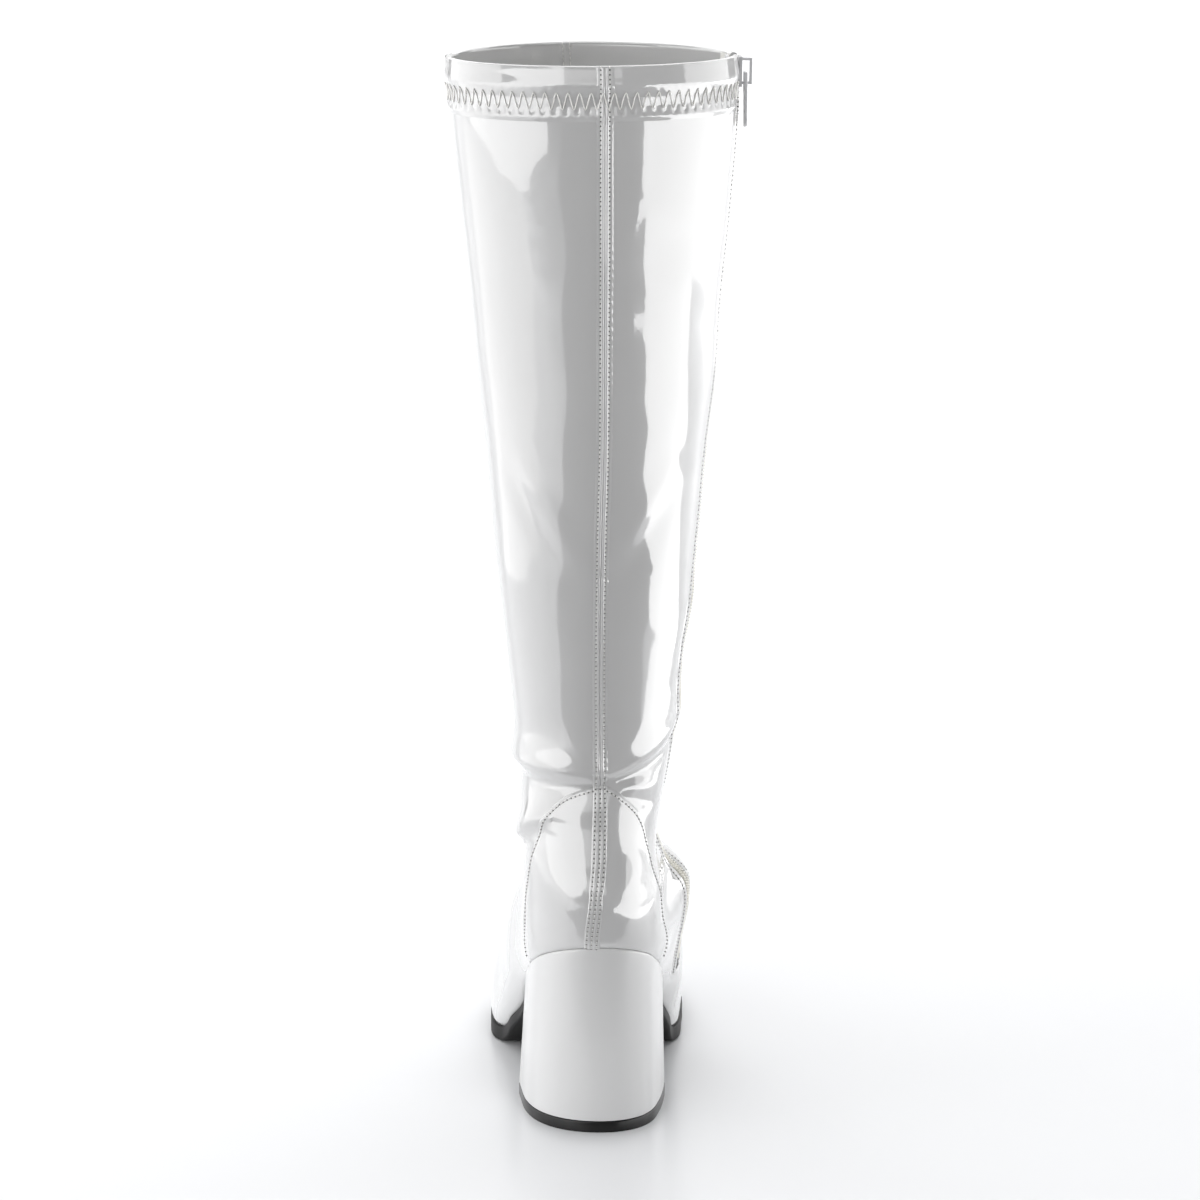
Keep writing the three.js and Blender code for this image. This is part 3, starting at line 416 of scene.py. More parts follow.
# %% [markdown]
# ## Finishes
# White patent is polyurethane film on stretch knit: bright, with a clear coat-like gloss and slow waves
# that bend reflections. The heel is wrapped in the same film over a hard block, so it is flatter and its
# reflections are even. The outsole and lift are moulded black rubber, satin on top and polished at the
# lift's cut edge. The slider and pull are cast zinc under pale enamel, the bottom stop is plated. Each
# could be an image, but a few nodes on the piece's own coordinates stay sharp at any distance.

# %% Material helpers
def linear(code):
    """sRGB hex to a linear colour."""
    channels = [int(code[i:i + 2], 16) / 255 for i in (1, 3, 5)]
    return tuple(c / 12.92 if c <= 0.04045 else ((c + 0.055) / 1.055) ** 2.4 for c in channels) + (1.0,)


def add_node(tree, kind, settings=None, links=None):
    """Adds a node; settings are attributes or input values, links are input name to an output socket."""
    node = tree.nodes.new(kind)
    for key, value in (settings or {}).items():
        if key in node.inputs:
            node.inputs[key].default_value = value
        else:
            setattr(node, key, value)
    for key, socket in (links or {}).items():
        tree.links.new(socket, node.inputs[key])
    return node


def new_material(name, code, **values):
    """A material with this base colour and these inputs of the Principled shader."""
    material = bpy.data.materials.new(name)
    material.use_nodes = True
    shader = material.node_tree.nodes["Principled BSDF"]
    shader.inputs["Base Color"].default_value = linear(code)
    for key, value in values.items():
        shader.inputs[key.replace("_", " ")].default_value = value
    return material


def noise_scale(millimetres):
    """Scale of a noise texture on Object coordinates, in metres, for features of this size."""
    return 1 / (millimetres * MM)


# %% White patent film
# The film looks nearly wet: a sharp reflection over a soft white body.
# The slow bump bends reflections as the knit under the film does; the fine one is the film's own grain.
patent = new_material("white_patent_film_on_knit", "#d0d0d0", Roughness=0.12, IOR=1.55, Coat_Weight=1.0,
                      Coat_Roughness=0.03, Coat_IOR=1.8)
tree = patent.node_tree
shader = tree.nodes["Principled BSDF"]
place = add_node(tree, "ShaderNodeTexCoord")
wave = add_node(tree, "ShaderNodeTexNoise", {"Scale": noise_scale(22.222), "Detail": 1.0, "Roughness": 0.4},
                {"Vector": place.outputs["Object"]})
pebble = add_node(tree, "ShaderNodeTexNoise", {"Scale": noise_scale(2.381), "Detail": 2.0, "Roughness": 0.5},
                  {"Vector": place.outputs["Object"]})
slow = add_node(tree, "ShaderNodeBump", {"Strength": 0.25, "Distance": 0.001},
                {"Height": wave.outputs["Fac"]})
fine = add_node(tree, "ShaderNodeBump", {"Strength": 0.06, "Distance": 0.0002},
                {"Height": pebble.outputs["Fac"], "Normal": slow.outputs["Normal"]})
tree.links.new(fine.outputs["Normal"], shader.inputs["Normal"])
tree.links.new(fine.outputs["Normal"], shader.inputs["Coat Normal"])

# %% Patent wrapped on the heel
# Stretched over a hard block the film is even, with a softer sheen than on the shaft.
heel_patent = new_material("white_patent_film_on_block", "#dcdcdc", Roughness=0.3, IOR=1.5, Coat_Weight=0.8,
                           Coat_Roughness=0.12, Coat_IOR=1.45)

# %% Lining
# Brushed knit: matt, with a grain of about a millimetre.
lining = new_material("pale_knit_lining", "#f6f6f5", Roughness=0.8)
tree = lining.node_tree
shader = tree.nodes["Principled BSDF"]
place = add_node(tree, "ShaderNodeTexCoord")
knit = add_node(tree, "ShaderNodeTexNoise", {"Scale": noise_scale(0.8333), "Detail": 1.0},
                {"Vector": place.outputs["Object"]})
bump = add_node(tree, "ShaderNodeBump", {"Strength": 0.3, "Distance": 0.0003},
                {"Height": knit.outputs["Fac"]})
tree.links.new(bump.outputs["Normal"], shader.inputs["Normal"])

# %% Thread, rubber and zip
# Bonded thread has a slight sheen, and the needle's holes read as small dark dots between its stitches.
thread = new_material("white_bonded_thread", "#f7f6f3", Roughness=0.35)
hole_dark = new_material("shadowed_needle_hole", "#353332", Roughness=0.9)
# Moulded rubber is satin; the ground and polished top piece shines a little more.
rubber = new_material("black_moulded_rubber", "#100f0f", Roughness=0.5, IOR=1.35)
lift_rubber = new_material("black_polished_top_piece", "#0b0a0a", Roughness=0.3, IOR=1.35, Coat_Weight=0.2,
                           Coat_Roughness=0.15)
# Woven tape is matt and slightly warm, and the nylon coil on it glints.
tape = new_material("ivory_woven_zip_tape", "#f7f6f2", Roughness=0.85)
coil_nylon = new_material("ivory_nylon_coil", "#f5f3ec", Roughness=0.35)
# Enamel hides the cast zinc's metal; plating leaves it metallic and softly blurred.
enamel = new_material("pale_grey_enamel_on_zinc", "#d6d6d8", Roughness=0.3)
plated = new_material("grey_plated_zinc", "#c9c9cb", Metallic=1.0, Roughness=0.36)
print("materials", len(bpy.data.materials))

# %% [markdown]
# ## Upper
# The upper is one closed shell: the film outside, the lining inside and a folded rim at the collar. The
# rings run from the collar to the toe tip, and the columns are spaced evenly round each ring by its own
# length. Under the foot the shell is pressed flat on the sole's top, as the real one is when it is lasted.
# Modelling it by hand under a subdivision modifier would be the usual way, but its rings could then not
# follow the last's measured sections.

# %% Even columns round each ring
def ring_angles(t, count):
    """Angles that space `count` columns evenly round the ring at t, starting at the back."""
    fine = np.linspace(0, 2 * math.pi, 721)
    points = form_point(np.full(fine.shape, t), fine)
    length = running_length(points)
    return np.interp(np.arange(count) / count * length[-1], length, fine)


def ring_places(shaft, ankle, foot, toe):
    """Places of the rings, with so many in each stretch of the boot."""
    turn_row = len(SHAFT_ROWS) - 1
    return np.concatenate([
        np.linspace(0, turn_row, shaft, endpoint=False),
        np.linspace(turn_row, HEEL_ROW, ankle, endpoint=False),
        np.linspace(HEEL_ROW, TOE_ROW, foot, endpoint=False),
        TOE_ROW + np.sin(np.linspace(0, 1, toe, endpoint=False) * math.pi / 2),
    ])


# %% Upper shell
RIM = WALL + HEM_THICKNESS
RIM_ROUND = RIM / 2


def shell_rows(places, count, lift, floor):
    """Rings of the shell; lift gives how far each ring's points stand off the form."""
    rows = []
    for t in places:
        a = ring_angles(t, count)
        tt = np.full(a.shape, t)
        p = skin(tt, a, lift(form_point(tt, a)))
        under = sole_top(p[:, 0]) + floor
        p[:, 2] = np.maximum(p[:, 2], under)
        rows.append(p)
    return rows


def outer_lift(base):
    return np.zeros(len(base))


def inner_lift(base):
    hem = np.clip((base[:, 2] - (COLLAR - HEM_HEIGHT)) / 0.8, 0, 1)
    return -WALL - HEM_THICKNESS * hem


def rim_rows(count, turns):
    """Rows over the collar's rounded rim, one for each turn about its middle."""
    rows = []
    top_a = ring_angles(0.0, count)
    zero = np.zeros(top_a.shape)
    for turn in turns:
        row = skin(zero, top_a, -RIM_ROUND - RIM_ROUND * math.cos(turn))
        row[:, 2] = COLLAR - RIM_ROUND + RIM_ROUND * math.sin(turn)
        rows.append(row)
    return rows


RIM_FOOT = COLLAR - RIM_ROUND - 0.6
SHELL_COLUMNS = 176
SHELL_RINGS = ((130, 80, 72, 22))


def make_upper():
    """Outer and inner skins, joined over the rim, each closed at the toe tip."""
    outer_count = SHELL_COLUMNS
    inner_count = outer_count // 2
    places = ring_places(*SHELL_RINGS)
    outer = shell_rows(places, outer_count, outer_lift, 0.05)
    inner = shell_rows(places[::2], inner_count, inner_lift, 0.25)
    outer[0][:, 2] = RIM_FOOT
    inner[0][:, 2] = RIM_FOOT
    outer_rows = rim_rows(outer_count, np.linspace(math.pi / 2, math.pi, 5)) + outer
    inner_rows = rim_rows(inner_count, np.linspace(math.pi / 2, 0, 5)[1:]) + inner
    tip = form_point(LAST, 0.0)[None]
    tip_in = tip - [[WALL, 0, 0]]
    outer_points = np.concatenate(outer_rows)
    inner_points = np.concatenate(inner_rows)
    n_outer = len(outer_points)
    outer_faces = grid_faces(len(outer_rows), outer_count, closed=True)
    inner_faces = grid_faces(len(inner_rows), inner_count, closed=True, start=n_outer, flip=True)
    faces = [tuple(f) for f in outer_faces]
    faces += [tuple(f) for f in inner_faces]
    tip_at = n_outer + len(inner_points)
    last = (len(outer_rows) - 1) * outer_count
    faces += [(last + (j + 1) % outer_count, last + j, tip_at) for j in range(outer_count)]
    last = n_outer + (len(inner_rows) - 1) * inner_count
    faces += [(last + j, last + (j + 1) % inner_count, tip_at + 1) for j in range(inner_count)]
    for j in range(inner_count):
        o0, o1, o2 = 2 * j, 2 * j + 1, (2 * j + 2) % outer_count
        i0, i1 = n_outer + j, n_outer + (j + 1) % inner_count
        faces += [(o1, i0, o0), (o1, i1, i0), (o2, i1, o1)]
    points = np.concatenate([outer_points, inner_points, tip, tip_in])
    piece = new_piece("upper_shell", points, faces, patent)
    piece.data.materials.append(lining)
    hem_low = (COLLAR - HEM_HEIGHT) * MM
    for polygon in piece.data.polygons[len(outer_faces):len(outer_faces) + len(inner_faces)]:
        if polygon.center.z < hem_low:
            polygon.material_index = 1
    return piece


upper = make_upper()
print("upper", len(upper.data.polygons), "faces")

# %% [markdown]
# ## Zip opening
# The zip lies in a slot down the inner side, from the collar to the arch. The slot is cut from the closed
# shell with a prism that follows the zip's line, so both edges run exactly beside the coil. Leaving the
# faces out of the grid would be quicker, but would give a stepped edge.

# %% Line of the zip
ZIP_LINE = {
    "at": [-.095, -.054, .008, .09, .2, .35, .6, 1.02],
    "forward": [.378, .336, .3, .257, .195, .166, .16, .158],
}
ZIP_END = -.095
SLOT_WIDTH = 7
HALF_SLOT = SLOT_WIDTH / 2


def zip_side(offset, ups):
    """Points x, z of a line beside the zip, so far ahead of it."""
    step = 0.004
    x = FOOT_LENGTH * table_at(ZIP_LINE, "forward", ups)
    dx = FOOT_LENGTH * (table_at(ZIP_LINE, "forward", ups + step) - table_at(ZIP_LINE, "forward", ups - step))
    dz = np.full(x.shape, 2 * step * SHAFT_HEIGHT)
    length = np.hypot(dx, dz)
    z = HEEL_HEIGHT + SHAFT_HEIGHT * ups
    return np.stack([x + dz / length * offset, z - dx / length * offset], -1)


# The prism reaches from outside the inner side to well inside the boot, and out over the collar.
SLOT_REACH = (-110, -6)
SLOT_TOP = 1.02


def cut_slot(piece):
    """Cuts a prism along the zip's line."""
    ups = np.linspace(ZIP_END, SLOT_TOP, 120)
    outline = np.concatenate([zip_side(HALF_SLOT, ups), zip_side(-HALF_SLOT, ups)[::-1]])
    count = len(outline)
    points = [(x, y, z) for y in SLOT_REACH for x, z in outline]
    faces = [(i, i + count, (i + 1) % count + count, (i + 1) % count) for i in range(count)]
    half = count // 2
    for base, turned in ((0, False), (count, True)):
        for k in range(half - 1):
            quad = (base + k, base + k + 1, base + count - 2 - k, base + count - 1 - k)
            faces.append(quad[::-1] if turned else quad)
    cut_with(piece, points, faces)


cut_slot(upper)
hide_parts("upper")
print("upper with its slot", len(upper.data.polygons), "faces")

# %% Place on the form under a point of the side view
def place_at(line, inner_side):
    """Finds t and a for points x, z in side view, on one side: a coarse search, then ever smaller steps."""
    x, z = np.asarray(line, float).T
    sign = -1 if inner_side else 1
    ts = np.linspace(0, LAST - 0.02, 400)
    aa = sign * np.linspace(0.02, math.pi - 0.02, 120)
    grid = form_point(ts[:, None], aa[None, :])
    t = np.empty(x.shape)
    a = np.empty(x.shape)
    for k in range(len(x)):
        miss = (grid[..., 0] - x[k]) ** 2 + (grid[..., 2] - z[k]) ** 2
        i, j = np.unravel_index(np.argmin(miss), miss.shape)
        t[k], a[k] = ts[i], aa[j]
    goal = np.stack([x, z], -1)
    step = np.full(x.shape, 0.03)
    for _ in range(26):
        best = (t, a)
        low = np.sum((form_point(t, a)[..., [0, 2]] - goal) ** 2, -1)
        for dt in (-1, 0, 1):
            for da in (-1, 0, 1):
                tt = np.clip(t + dt * step, 0, LAST - 0.02)
                ta = a + da * step
                miss = np.sum((form_point(tt, ta)[..., [0, 2]] - goal) ** 2, -1)
                better = miss < low
                low = np.where(better, miss, low)
                best = (np.where(better, tt, best[0]), np.where(better, ta, best[1]))
        same = (best[0] == t) & (best[1] == a)
        t, a = best
        step = np.where(same, step * 0.5, step)
    return t, a


zip_middle = skin(*place_at(zip_side(0, np.linspace(ZIP_END + 0.012, 0.985, 60)), True), 0)
print("zip length mm", round(float(running_length(zip_middle)[-1])))

# %% [markdown]
# ## Heel, lift and outsole
# The sole's outline is where the upper meets the sole's top. It is found on the form ring by ring, so that
# the heel's rim and the sole's edge stand out evenly from the upper. The heel block is lofted from that
# line to the flared outline on the lift, and its rim is rounded over, as a wrapped heel's is. Drawing the
# outline by hand would be quicker, but the rim would then wander off the lasted edge.

# %% Feather line
def feather_points(t, sign):
    """Plan points where the rings at t meet the sole's top, by halving."""
    t = np.asarray(t, float)
    low = np.zeros(t.shape)
    high = np.full(t.shape, math.pi / 2)
    for _ in range(34):
        middle = (low + high) / 2
        p = form_point(t, sign * middle)
        under = p[..., 2] < sole_top(p[..., 0])
        low = np.where(under, middle, low)
        high = np.where(under, high, middle)
    return form_point(t, sign * high)[..., :2]


def feather_end(t0, t1):
    """Place where the form's lowest line crosses the sole's top."""
    def over(t):
        p = form_point(t, 0.0)
        return bool(p[2] > sole_top(p[0]))
    start = over(t0)
    for _ in range(34):
        middle = (t0 + t1) / 2
        if over(middle) == start:
            t0 = middle
        else:
            t1 = middle
    return (t0 + t1) / 2


BACK_END = feather_end(HEEL_ROW - 1, HEEL_ROW)
TOE_END = feather_end(TOE_ROW, LAST)


def feather_line():
    """Closed outline from the heel's back round the outer side to the toe and back."""
    ts = np.concatenate([
        BACK_END + (HEEL_ROW - BACK_END) * (np.arange(1, 14) / 14) ** 2,
        np.linspace(HEEL_ROW, TOE_ROW, 70, endpoint=False),
        TOE_ROW + (TOE_END - TOE_ROW) * np.sin(np.arange(22) / 22 * math.pi / 2),
    ])
    outer = feather_points(ts, 1)
    inner = feather_points(ts, -1)
    back = feather_points(np.array([BACK_END]), 1)
    toe = feather_points(np.array([TOE_END]), 1)
    return np.concatenate([back, outer, toe, inner[::-1]])


def moved(outline, out):
    """Outline moved out by so many millimetres; out may be one number or one for each point."""
    tangent = np.roll(outline, -1, 0) - np.roll(outline, 1, 0)
    tangent /= np.linalg.norm(tangent, axis=1, keepdims=True)
    normal = np.stack([-tangent[:, 1], tangent[:, 0]], -1)
    return outline + normal * np.asarray(out, float).reshape(-1, 1)


FEATHER = feather_line()
print("feather line", len(FEATHER), "points", FEATHER.min(0).round(1), FEATHER.max(0).round(1))

# %% The heel's hollow breast
HEEL_LENGTH = 57
HEEL_PROUD = 0.9
BREAST_SLOPE = 5
BREAST_HOLLOW = 2.5
LIFT_THICKNESS = 4.5
LIFT_PROUD = 0.2
# The flare is more on the outer side than on the inner one.
HEEL_FLARE = (1.11, 1.03)
BREAST_HALF = 30
# The cutter at the breast reaches well past the heel on every side.
CUTTER_HALF = 60
CUTTER_HEIGHTS = (-20, 140)
CUTTER_FRONT = FOOT_LENGTH + 40
CUTTER_BACK = -60


def breast_x(y, z, ahead=0.0):
    """Place of the heel's front face, hollow across and leaning back as it goes down."""
    hollow = np.maximum(0, 1 - (y / BREAST_HALF) ** 2)
    return HEEL_LENGTH + BREAST_SLOPE * (z / HEEL_HEIGHT - 1) - BREAST_HOLLOW * hollow + ahead


def breast_solid(ahead, front=True):
    """Everything ahead of the heel's hollow breast, or behind it."""
    ys = np.linspace(-CUTTER_HALF, CUTTER_HALF, 49)
    far = CUTTER_FRONT if front else CUTTER_BACK
    points = []
    for z in CUTTER_HEIGHTS:
        points += [(float(breast_x(y, z, ahead)), float(y), z) for y in ys]
        points += [(far, float(y), z) for y in ys]
    n = len(ys)
    faces = []
    for k in range(n - 1):
        faces += [(k, k + 1, n + k + 1, n + k), (2 * n + k, 3 * n + k, 3 * n + k + 1, 2 * n + k + 1)]
        faces += [(k, 2 * n + k, 2 * n + k + 1, k + 1), (n + k, n + k + 1, 3 * n + k + 1, 3 * n + k)]
    faces += [(0, n, 3 * n, 2 * n), (n - 1, 3 * n - 1, 4 * n - 1, 2 * n - 1)]
    return points, faces


# %% Heel block
heel_line = FEATHER[FEATHER[:, 0] < HEEL_LENGTH + 16]


def heel_row(outset, drop=None, level=None):
    """Outline of the heel: a level flared one, or one so far below the sole's top."""
    line = moved(heel_line, outset)
    if level is not None:
        flare = np.where(line[:, 1] > 0, *HEEL_FLARE)
        return np.stack([line[:, 0], line[:, 1] * flare, np.full(len(line), level)], -1)
    return np.stack([line[:, 0], line[:, 1], sole_top(line[:, 0]) - drop], -1)


def loft(rows):
    """Faces of a closed loft whose first and last rows are capped across the outline's mirror pairs."""
    count = len(rows[0])
    faces = [tuple(f[::-1]) for f in grid_faces(len(rows), count, closed=True)]
    for base, turned in ((0, True), ((len(rows) - 1) * count, False)):
        for j in range(count // 2):
            ring = [base + j, base + j + 1, base + count - j - 1, base + (count - j) % count]
            quad = list(dict.fromkeys(ring))
            if len(quad) > 2:
                faces.append(tuple(quad[::-1] if turned else quad))
    return faces


def cut_to_breast(name, rows, material, cutter, sharp):
    """A lofted piece of the foot's underside, cut at the heel's breast."""
    piece = new_piece(name, np.concatenate(rows), loft(rows), material)
    cut_with(piece, *cutter)
    piece.data.set_sharp_from_angle(angle=math.radians(sharp))
    return piece


HEEL_RIM = 1.3


def make_heel():
    """The block's side rises straight from the lift and rolls over at the rim."""
    floor = heel_row(HEEL_PROUD, level=LIFT_THICKNESS + GAP)
    top = heel_row(HEEL_PROUD, drop=HEEL_RIM)
    rows = [floor] + [floor + (top - floor) * k / 12 for k in range(1, 12)]
    for turn in np.linspace(0, math.pi / 2, 6):
        rows.append(heel_row(HEEL_PROUD * math.cos(turn), drop=HEEL_RIM * (1 - math.sin(turn))))
    piece = cut_to_breast("heel_wrapped_block", rows, heel_patent, breast_solid(0), 40)
    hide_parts("heel_block")
    return piece


def make_lift():
    """A flat slab whose top edge is rounded a little."""
    line = moved(heel_row(HEEL_PROUD, level=0)[:, :2], LIFT_PROUD)
    rows = []
    for out, z in ((0, 0), (0, LIFT_THICKNESS - 0.5), (-0.15, LIFT_THICKNESS - 0.12), (-0.5, LIFT_THICKNESS)):
        rows.append(np.column_stack([moved(line, out), np.full(len(line), z)]))
    piece = cut_to_breast("heel_top_piece", rows, lift_rubber, breast_solid(0), 40)
    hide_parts("heel_lift")
    return piece


heel = make_heel()
lift = make_lift()
print("heel", len(heel.data.polygons), "lift", len(lift.data.polygons))

# %% Outsole
def make_outsole():
    """A thin unit with soft edges, from the feather line, proud by the rand and cut where the heel begins."""
    share = FEATHER[:, 0] / FOOT_LENGTH
    rand = SOLE_RAND * table_at(SOLE_EDGE, "rand", share)
    thick = WAIST_THICKNESS + (SOLE_THICKNESS - WAIST_THICKNESS) * table_at(SOLE_EDGE, "thick", share)
    rows = []
    # Bottom, rounded edge, side, rounded edge, top.
    for out, up in ((-1.2, 0), (-0.35, 0.1), (-0.05, 0.5), (0, 1.0), (0, -0.6), (-0.25, -0.1), (-0.9, 0)):
        line = moved(FEATHER, rand + out)
        top = sole_top(line[:, 0])
        z = top - thick + up if len(rows) < 4 else top + up
        rows.append(np.column_stack([line, z]))
    piece = cut_to_breast("outsole_unit", rows, rubber, breast_solid(GAP, front=False), 50)
    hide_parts("outsole")
    return piece


outsole = make_outsole()
print("outsole", len(outsole.data.polygons))

# %% [markdown]
# ## Strips over the skin
# Seams, panels and piping are strips laid on the form along a path. Each has its own fine rows and a cross
# profile of heights, so a ridge half a millimetre high is still round. The strip's edges dive under the
# skin. A bevelled curve could make them too, but would float over hollows and sink into bends.

# %% Strip helper
BAND_LOW = 22.5
BAND_BASE = 0.16
# Swellings of the folded band: height (a pinch is negative), distance below the collar, half width.
BAND_WAVES = [(0.75, 8.0, 3.6), (0.30, 20.0, 2.0), (-0.42, 13.6, 2.4)]


def band_fade(drop):
    """1 on the collar band, falling to 0 at its lower edge and at the rim."""
    return np.clip((BAND_LOW - drop) / 2.0, 0, 1) * np.clip((drop - 0.2) / 1.6, 0, 1)


def band_rise(z):
    """How far the folded collar band stands out from the form at this height."""
    drop = COLLAR - np.asarray(z, float)
    rise = BAND_BASE
    for height, middle, half in BAND_WAVES:
        rise = rise + height * np.exp(-((drop - middle) / half) ** 2)
    return rise * band_fade(drop)


def reach(t, a):
    """Millimetres of skin per radian at each place."""
    step = 0.01
    return np.linalg.norm(form_point(t, a + step) - form_point(t, a - step), axis=-1) / (2 * step)


def strip(name, t, a, profile, material, extra=None):
    """A strip along the path (t, a). profile holds pairs of sideways place and height, in millimetres."""
    t, a = np.asarray(t, float), np.asarray(a, float)
    side = np.array([p[0] for p in profile])
    lift = np.array([p[1] for p in profile])
    per = reach(t, a)[:, None]
    tt = np.repeat(t[:, None], len(side), 1)
    aa = a[:, None] + side[None, :] / per
    high = np.repeat(lift[None, :], len(t), 0)
    if extra is not None:
        high = high + extra(tt, aa, side)
    points = skin(tt, aa, high + band_rise(form_point(tt, aa)[..., 2])).reshape(-1, 3)
    return new_piece(name, points, grid_faces(len(t), len(side)), material)


def back_angle(t, y):
    """Angle near the back where the form has this y, for each t."""
    low, high = np.full(t.shape, -1.2), np.full(t.shape, 1.2)
    for _ in range(30):
        middle = (low + high) / 2
        more = form_point(t, middle)[..., 1] > y
        high = np.where(more, middle, high)
        low = np.where(more, low, middle)
    return (low + high) / 2


def even_path(t, a, step):
    """The same path with points evenly so far apart, in millimetres."""
    fine = np.linspace(0, 1, 1500)
    place = np.linspace(0, 1, len(t))
    ft, fa = np.interp(fine, place, t), np.interp(fine, place, a)
    length = running_length(skin(ft, fa))
    count = max(3, int(round(length[-1] / step)) + 1)
    at = np.interp(np.linspace(0, length[-1], count), length, fine)
    return np.interp(at, place, t), np.interp(at, place, a)


# %% Stitch rows by geometry nodes
def thread_tree():
    """Sets one stitch at even steps along a path; ends in Realize Instances and Set Material."""
    tree = bpy.data.node_groups.new("stitches_on_a_path", "GeometryNodeTree")
    for label, kind in (("Geometry", "NodeSocketGeometry"), ("Pitch", "NodeSocketFloat"),
                        ("Length", "NodeSocketFloat"), ("Thread", "NodeSocketFloat"),
                        ("Turn", "NodeSocketFloat"), ("Material", "NodeSocketMaterial")):
        tree.interface.new_socket(label, in_out="INPUT", socket_type=kind)
    tree.interface.new_socket("Geometry", in_out="OUTPUT", socket_type="NodeSocketGeometry")
    start = add_node(tree, "NodeGroupInput")
    curve = add_node(tree, "GeometryNodeMeshToCurve", {}, {"Mesh": start.outputs["Geometry"]})
    spaced = add_node(tree, "GeometryNodeResampleCurve", {"mode": "LENGTH"},
                      {"Curve": curve.outputs["Curve"], "Length": start.outputs["Pitch"]})
    bead = add_node(tree, "GeometryNodeMeshIcoSphere", {"Radius": 0.5, "Subdivisions": 1})
    stretch = add_node(tree, "ShaderNodeCombineXYZ", {}, {"X": start.outputs["Thread"],
                                                         "Y": start.outputs["Thread"],
                                                         "Z": start.outputs["Length"]})
    along = add_node(tree, "GeometryNodeInputTangent")
    aim = add_node(tree, "FunctionNodeAlignRotationToVector", {"axis": "Z"},
                   {"Vector": along.outputs["Tangent"]})
    lean = add_node(tree, "FunctionNodeRotateRotation", {"rotation_space": "LOCAL"},
                    {"Rotation": aim.outputs["Rotation"]})
    turn = add_node(tree, "FunctionNodeAxisAngleToRotation", {"Axis": (1, 0, 0)},
                    {"Angle": start.outputs["Turn"]})
    tree.links.new(turn.outputs["Rotation"], lean.inputs["Rotate By"])
    placed = add_node(tree, "GeometryNodeInstanceOnPoints", {},
                      {"Points": spaced.outputs["Curve"], "Instance": bead.outputs["Mesh"],
                       "Rotation": lean.outputs["Rotation"], "Scale": stretch.outputs["Vector"]})
    real = add_node(tree, "GeometryNodeRealizeInstances", {}, {"Geometry": placed.outputs["Instances"]})
    dressed = add_node(tree, "GeometryNodeSetMaterial", {},
                       {"Geometry": real.outputs["Geometry"], "Material": start.outputs["Material"]})
    end = add_node(tree, "NodeGroupOutput")
    tree.links.new(dressed.outputs["Geometry"], end.inputs["Geometry"])
    return tree


STITCH_TREE = thread_tree()
print("stitch tree", len(STITCH_TREE.nodes), "nodes")


def along_points(name, points, pitch, length, thick, material, turn=0.0):
    """One object of stitches along points given in millimetres."""
    mesh = bpy.data.meshes.new(name + "_path")
    count = len(points)
    mesh.from_pydata([tuple(p) for p in to_row(points)], [(i, i + 1) for i in range(count - 1)], [])
    row = linked(name, mesh)
    nodes = row.modifiers.new("stitches", "NODES")
    nodes.node_group = STITCH_TREE
    values = {"Pitch": pitch * MM, "Length": length * MM, "Thread": thick * MM, "Turn": turn,
              "Material": material}
    for item in STITCH_TREE.interface.items_tree:
        if item.in_out == "INPUT" and item.name in values:
            nodes[item.identifier] = values[item.name]
    apply_modifiers(row)
    smooth_faces(row.data)
    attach(row, BOOT)


STITCH_LENGTH = 1.75
THREAD_THICKNESS = 0.42
HOLE_SIZE = (0.6, 0.8)


def stitches(name, t, a, lift, pitch=1.85, holes=True):
    """Thread along a path on the skin, with a dark needle hole between stitches."""
    ft, fa = even_path(t, a, 1.0)
    rise = lift + (band_rise(form_point(ft, fa)[..., 2]) if lift > 0 else 0)
    along_points(name, skin(ft, fa, rise), pitch, STITCH_LENGTH, THREAD_THICKNESS, thread)
    if holes:
        ht, ha = even_path(t, a, pitch / 2)
        rise = lift - 0.06 + band_rise(form_point(ht, ha)[..., 2])
        along_points(name + "_holes", skin(ht, ha, rise)[1:], pitch, *HOLE_SIZE, hole_dark)


# %% [markdown]
# ## Back seam
# Two pieces of film meet behind the calf and are sewn flat, so there is a groove with a soft ridge on each
# side and a row of thread on each ridge's foot. Below the heel counter's top a narrow tape carries three
# rows. A picture of stitches would look flat from close by, so each stitch is a small bead that a Geometry
# Nodes tree sets along the path.

# %% Seam line
SEAM_LINE = {
    "at": [-.03, 0, .05, .1, .17, .3, .45, .6, 1.01],
    "inner": [0, 0, .028, .056, .063, .06, .07, .091, .097],
}
COUNTER_TOP = 143
COUNTER_LIFT = 0.5


def seam_y(z):
    """Sideways place of the back seam at this height; it wanders to the inner side as it rises."""
    return -table_at(SEAM_LINE, "inner", (z - HEEL_HEIGHT) / SHAFT_HEIGHT) * ANKLE_WIDTH


def seam_path(t0, t1, count, step):
    """The back seam from t0 to t1, with points evenly so far apart."""
    t = np.linspace(t0, t1, count)
    a = back_angle(t, 0.0)
    for _ in range(3):
        a = back_angle(t, seam_y(form_point(t, a)[:, 2]))
    return even_path(t, a, step)


def t_at_height(z):
    """Place of the back line at this height."""
    ts = np.linspace(0, HEEL_ROW, 900)
    zs = form_point(ts, np.zeros(900))[:, 2]
    return float(np.interp(-z, -zs, ts))


T_COUNTER = t_at_height(COUNTER_TOP)
T_FEATHER = t_at_height(HEEL_HEIGHT + 0.4)
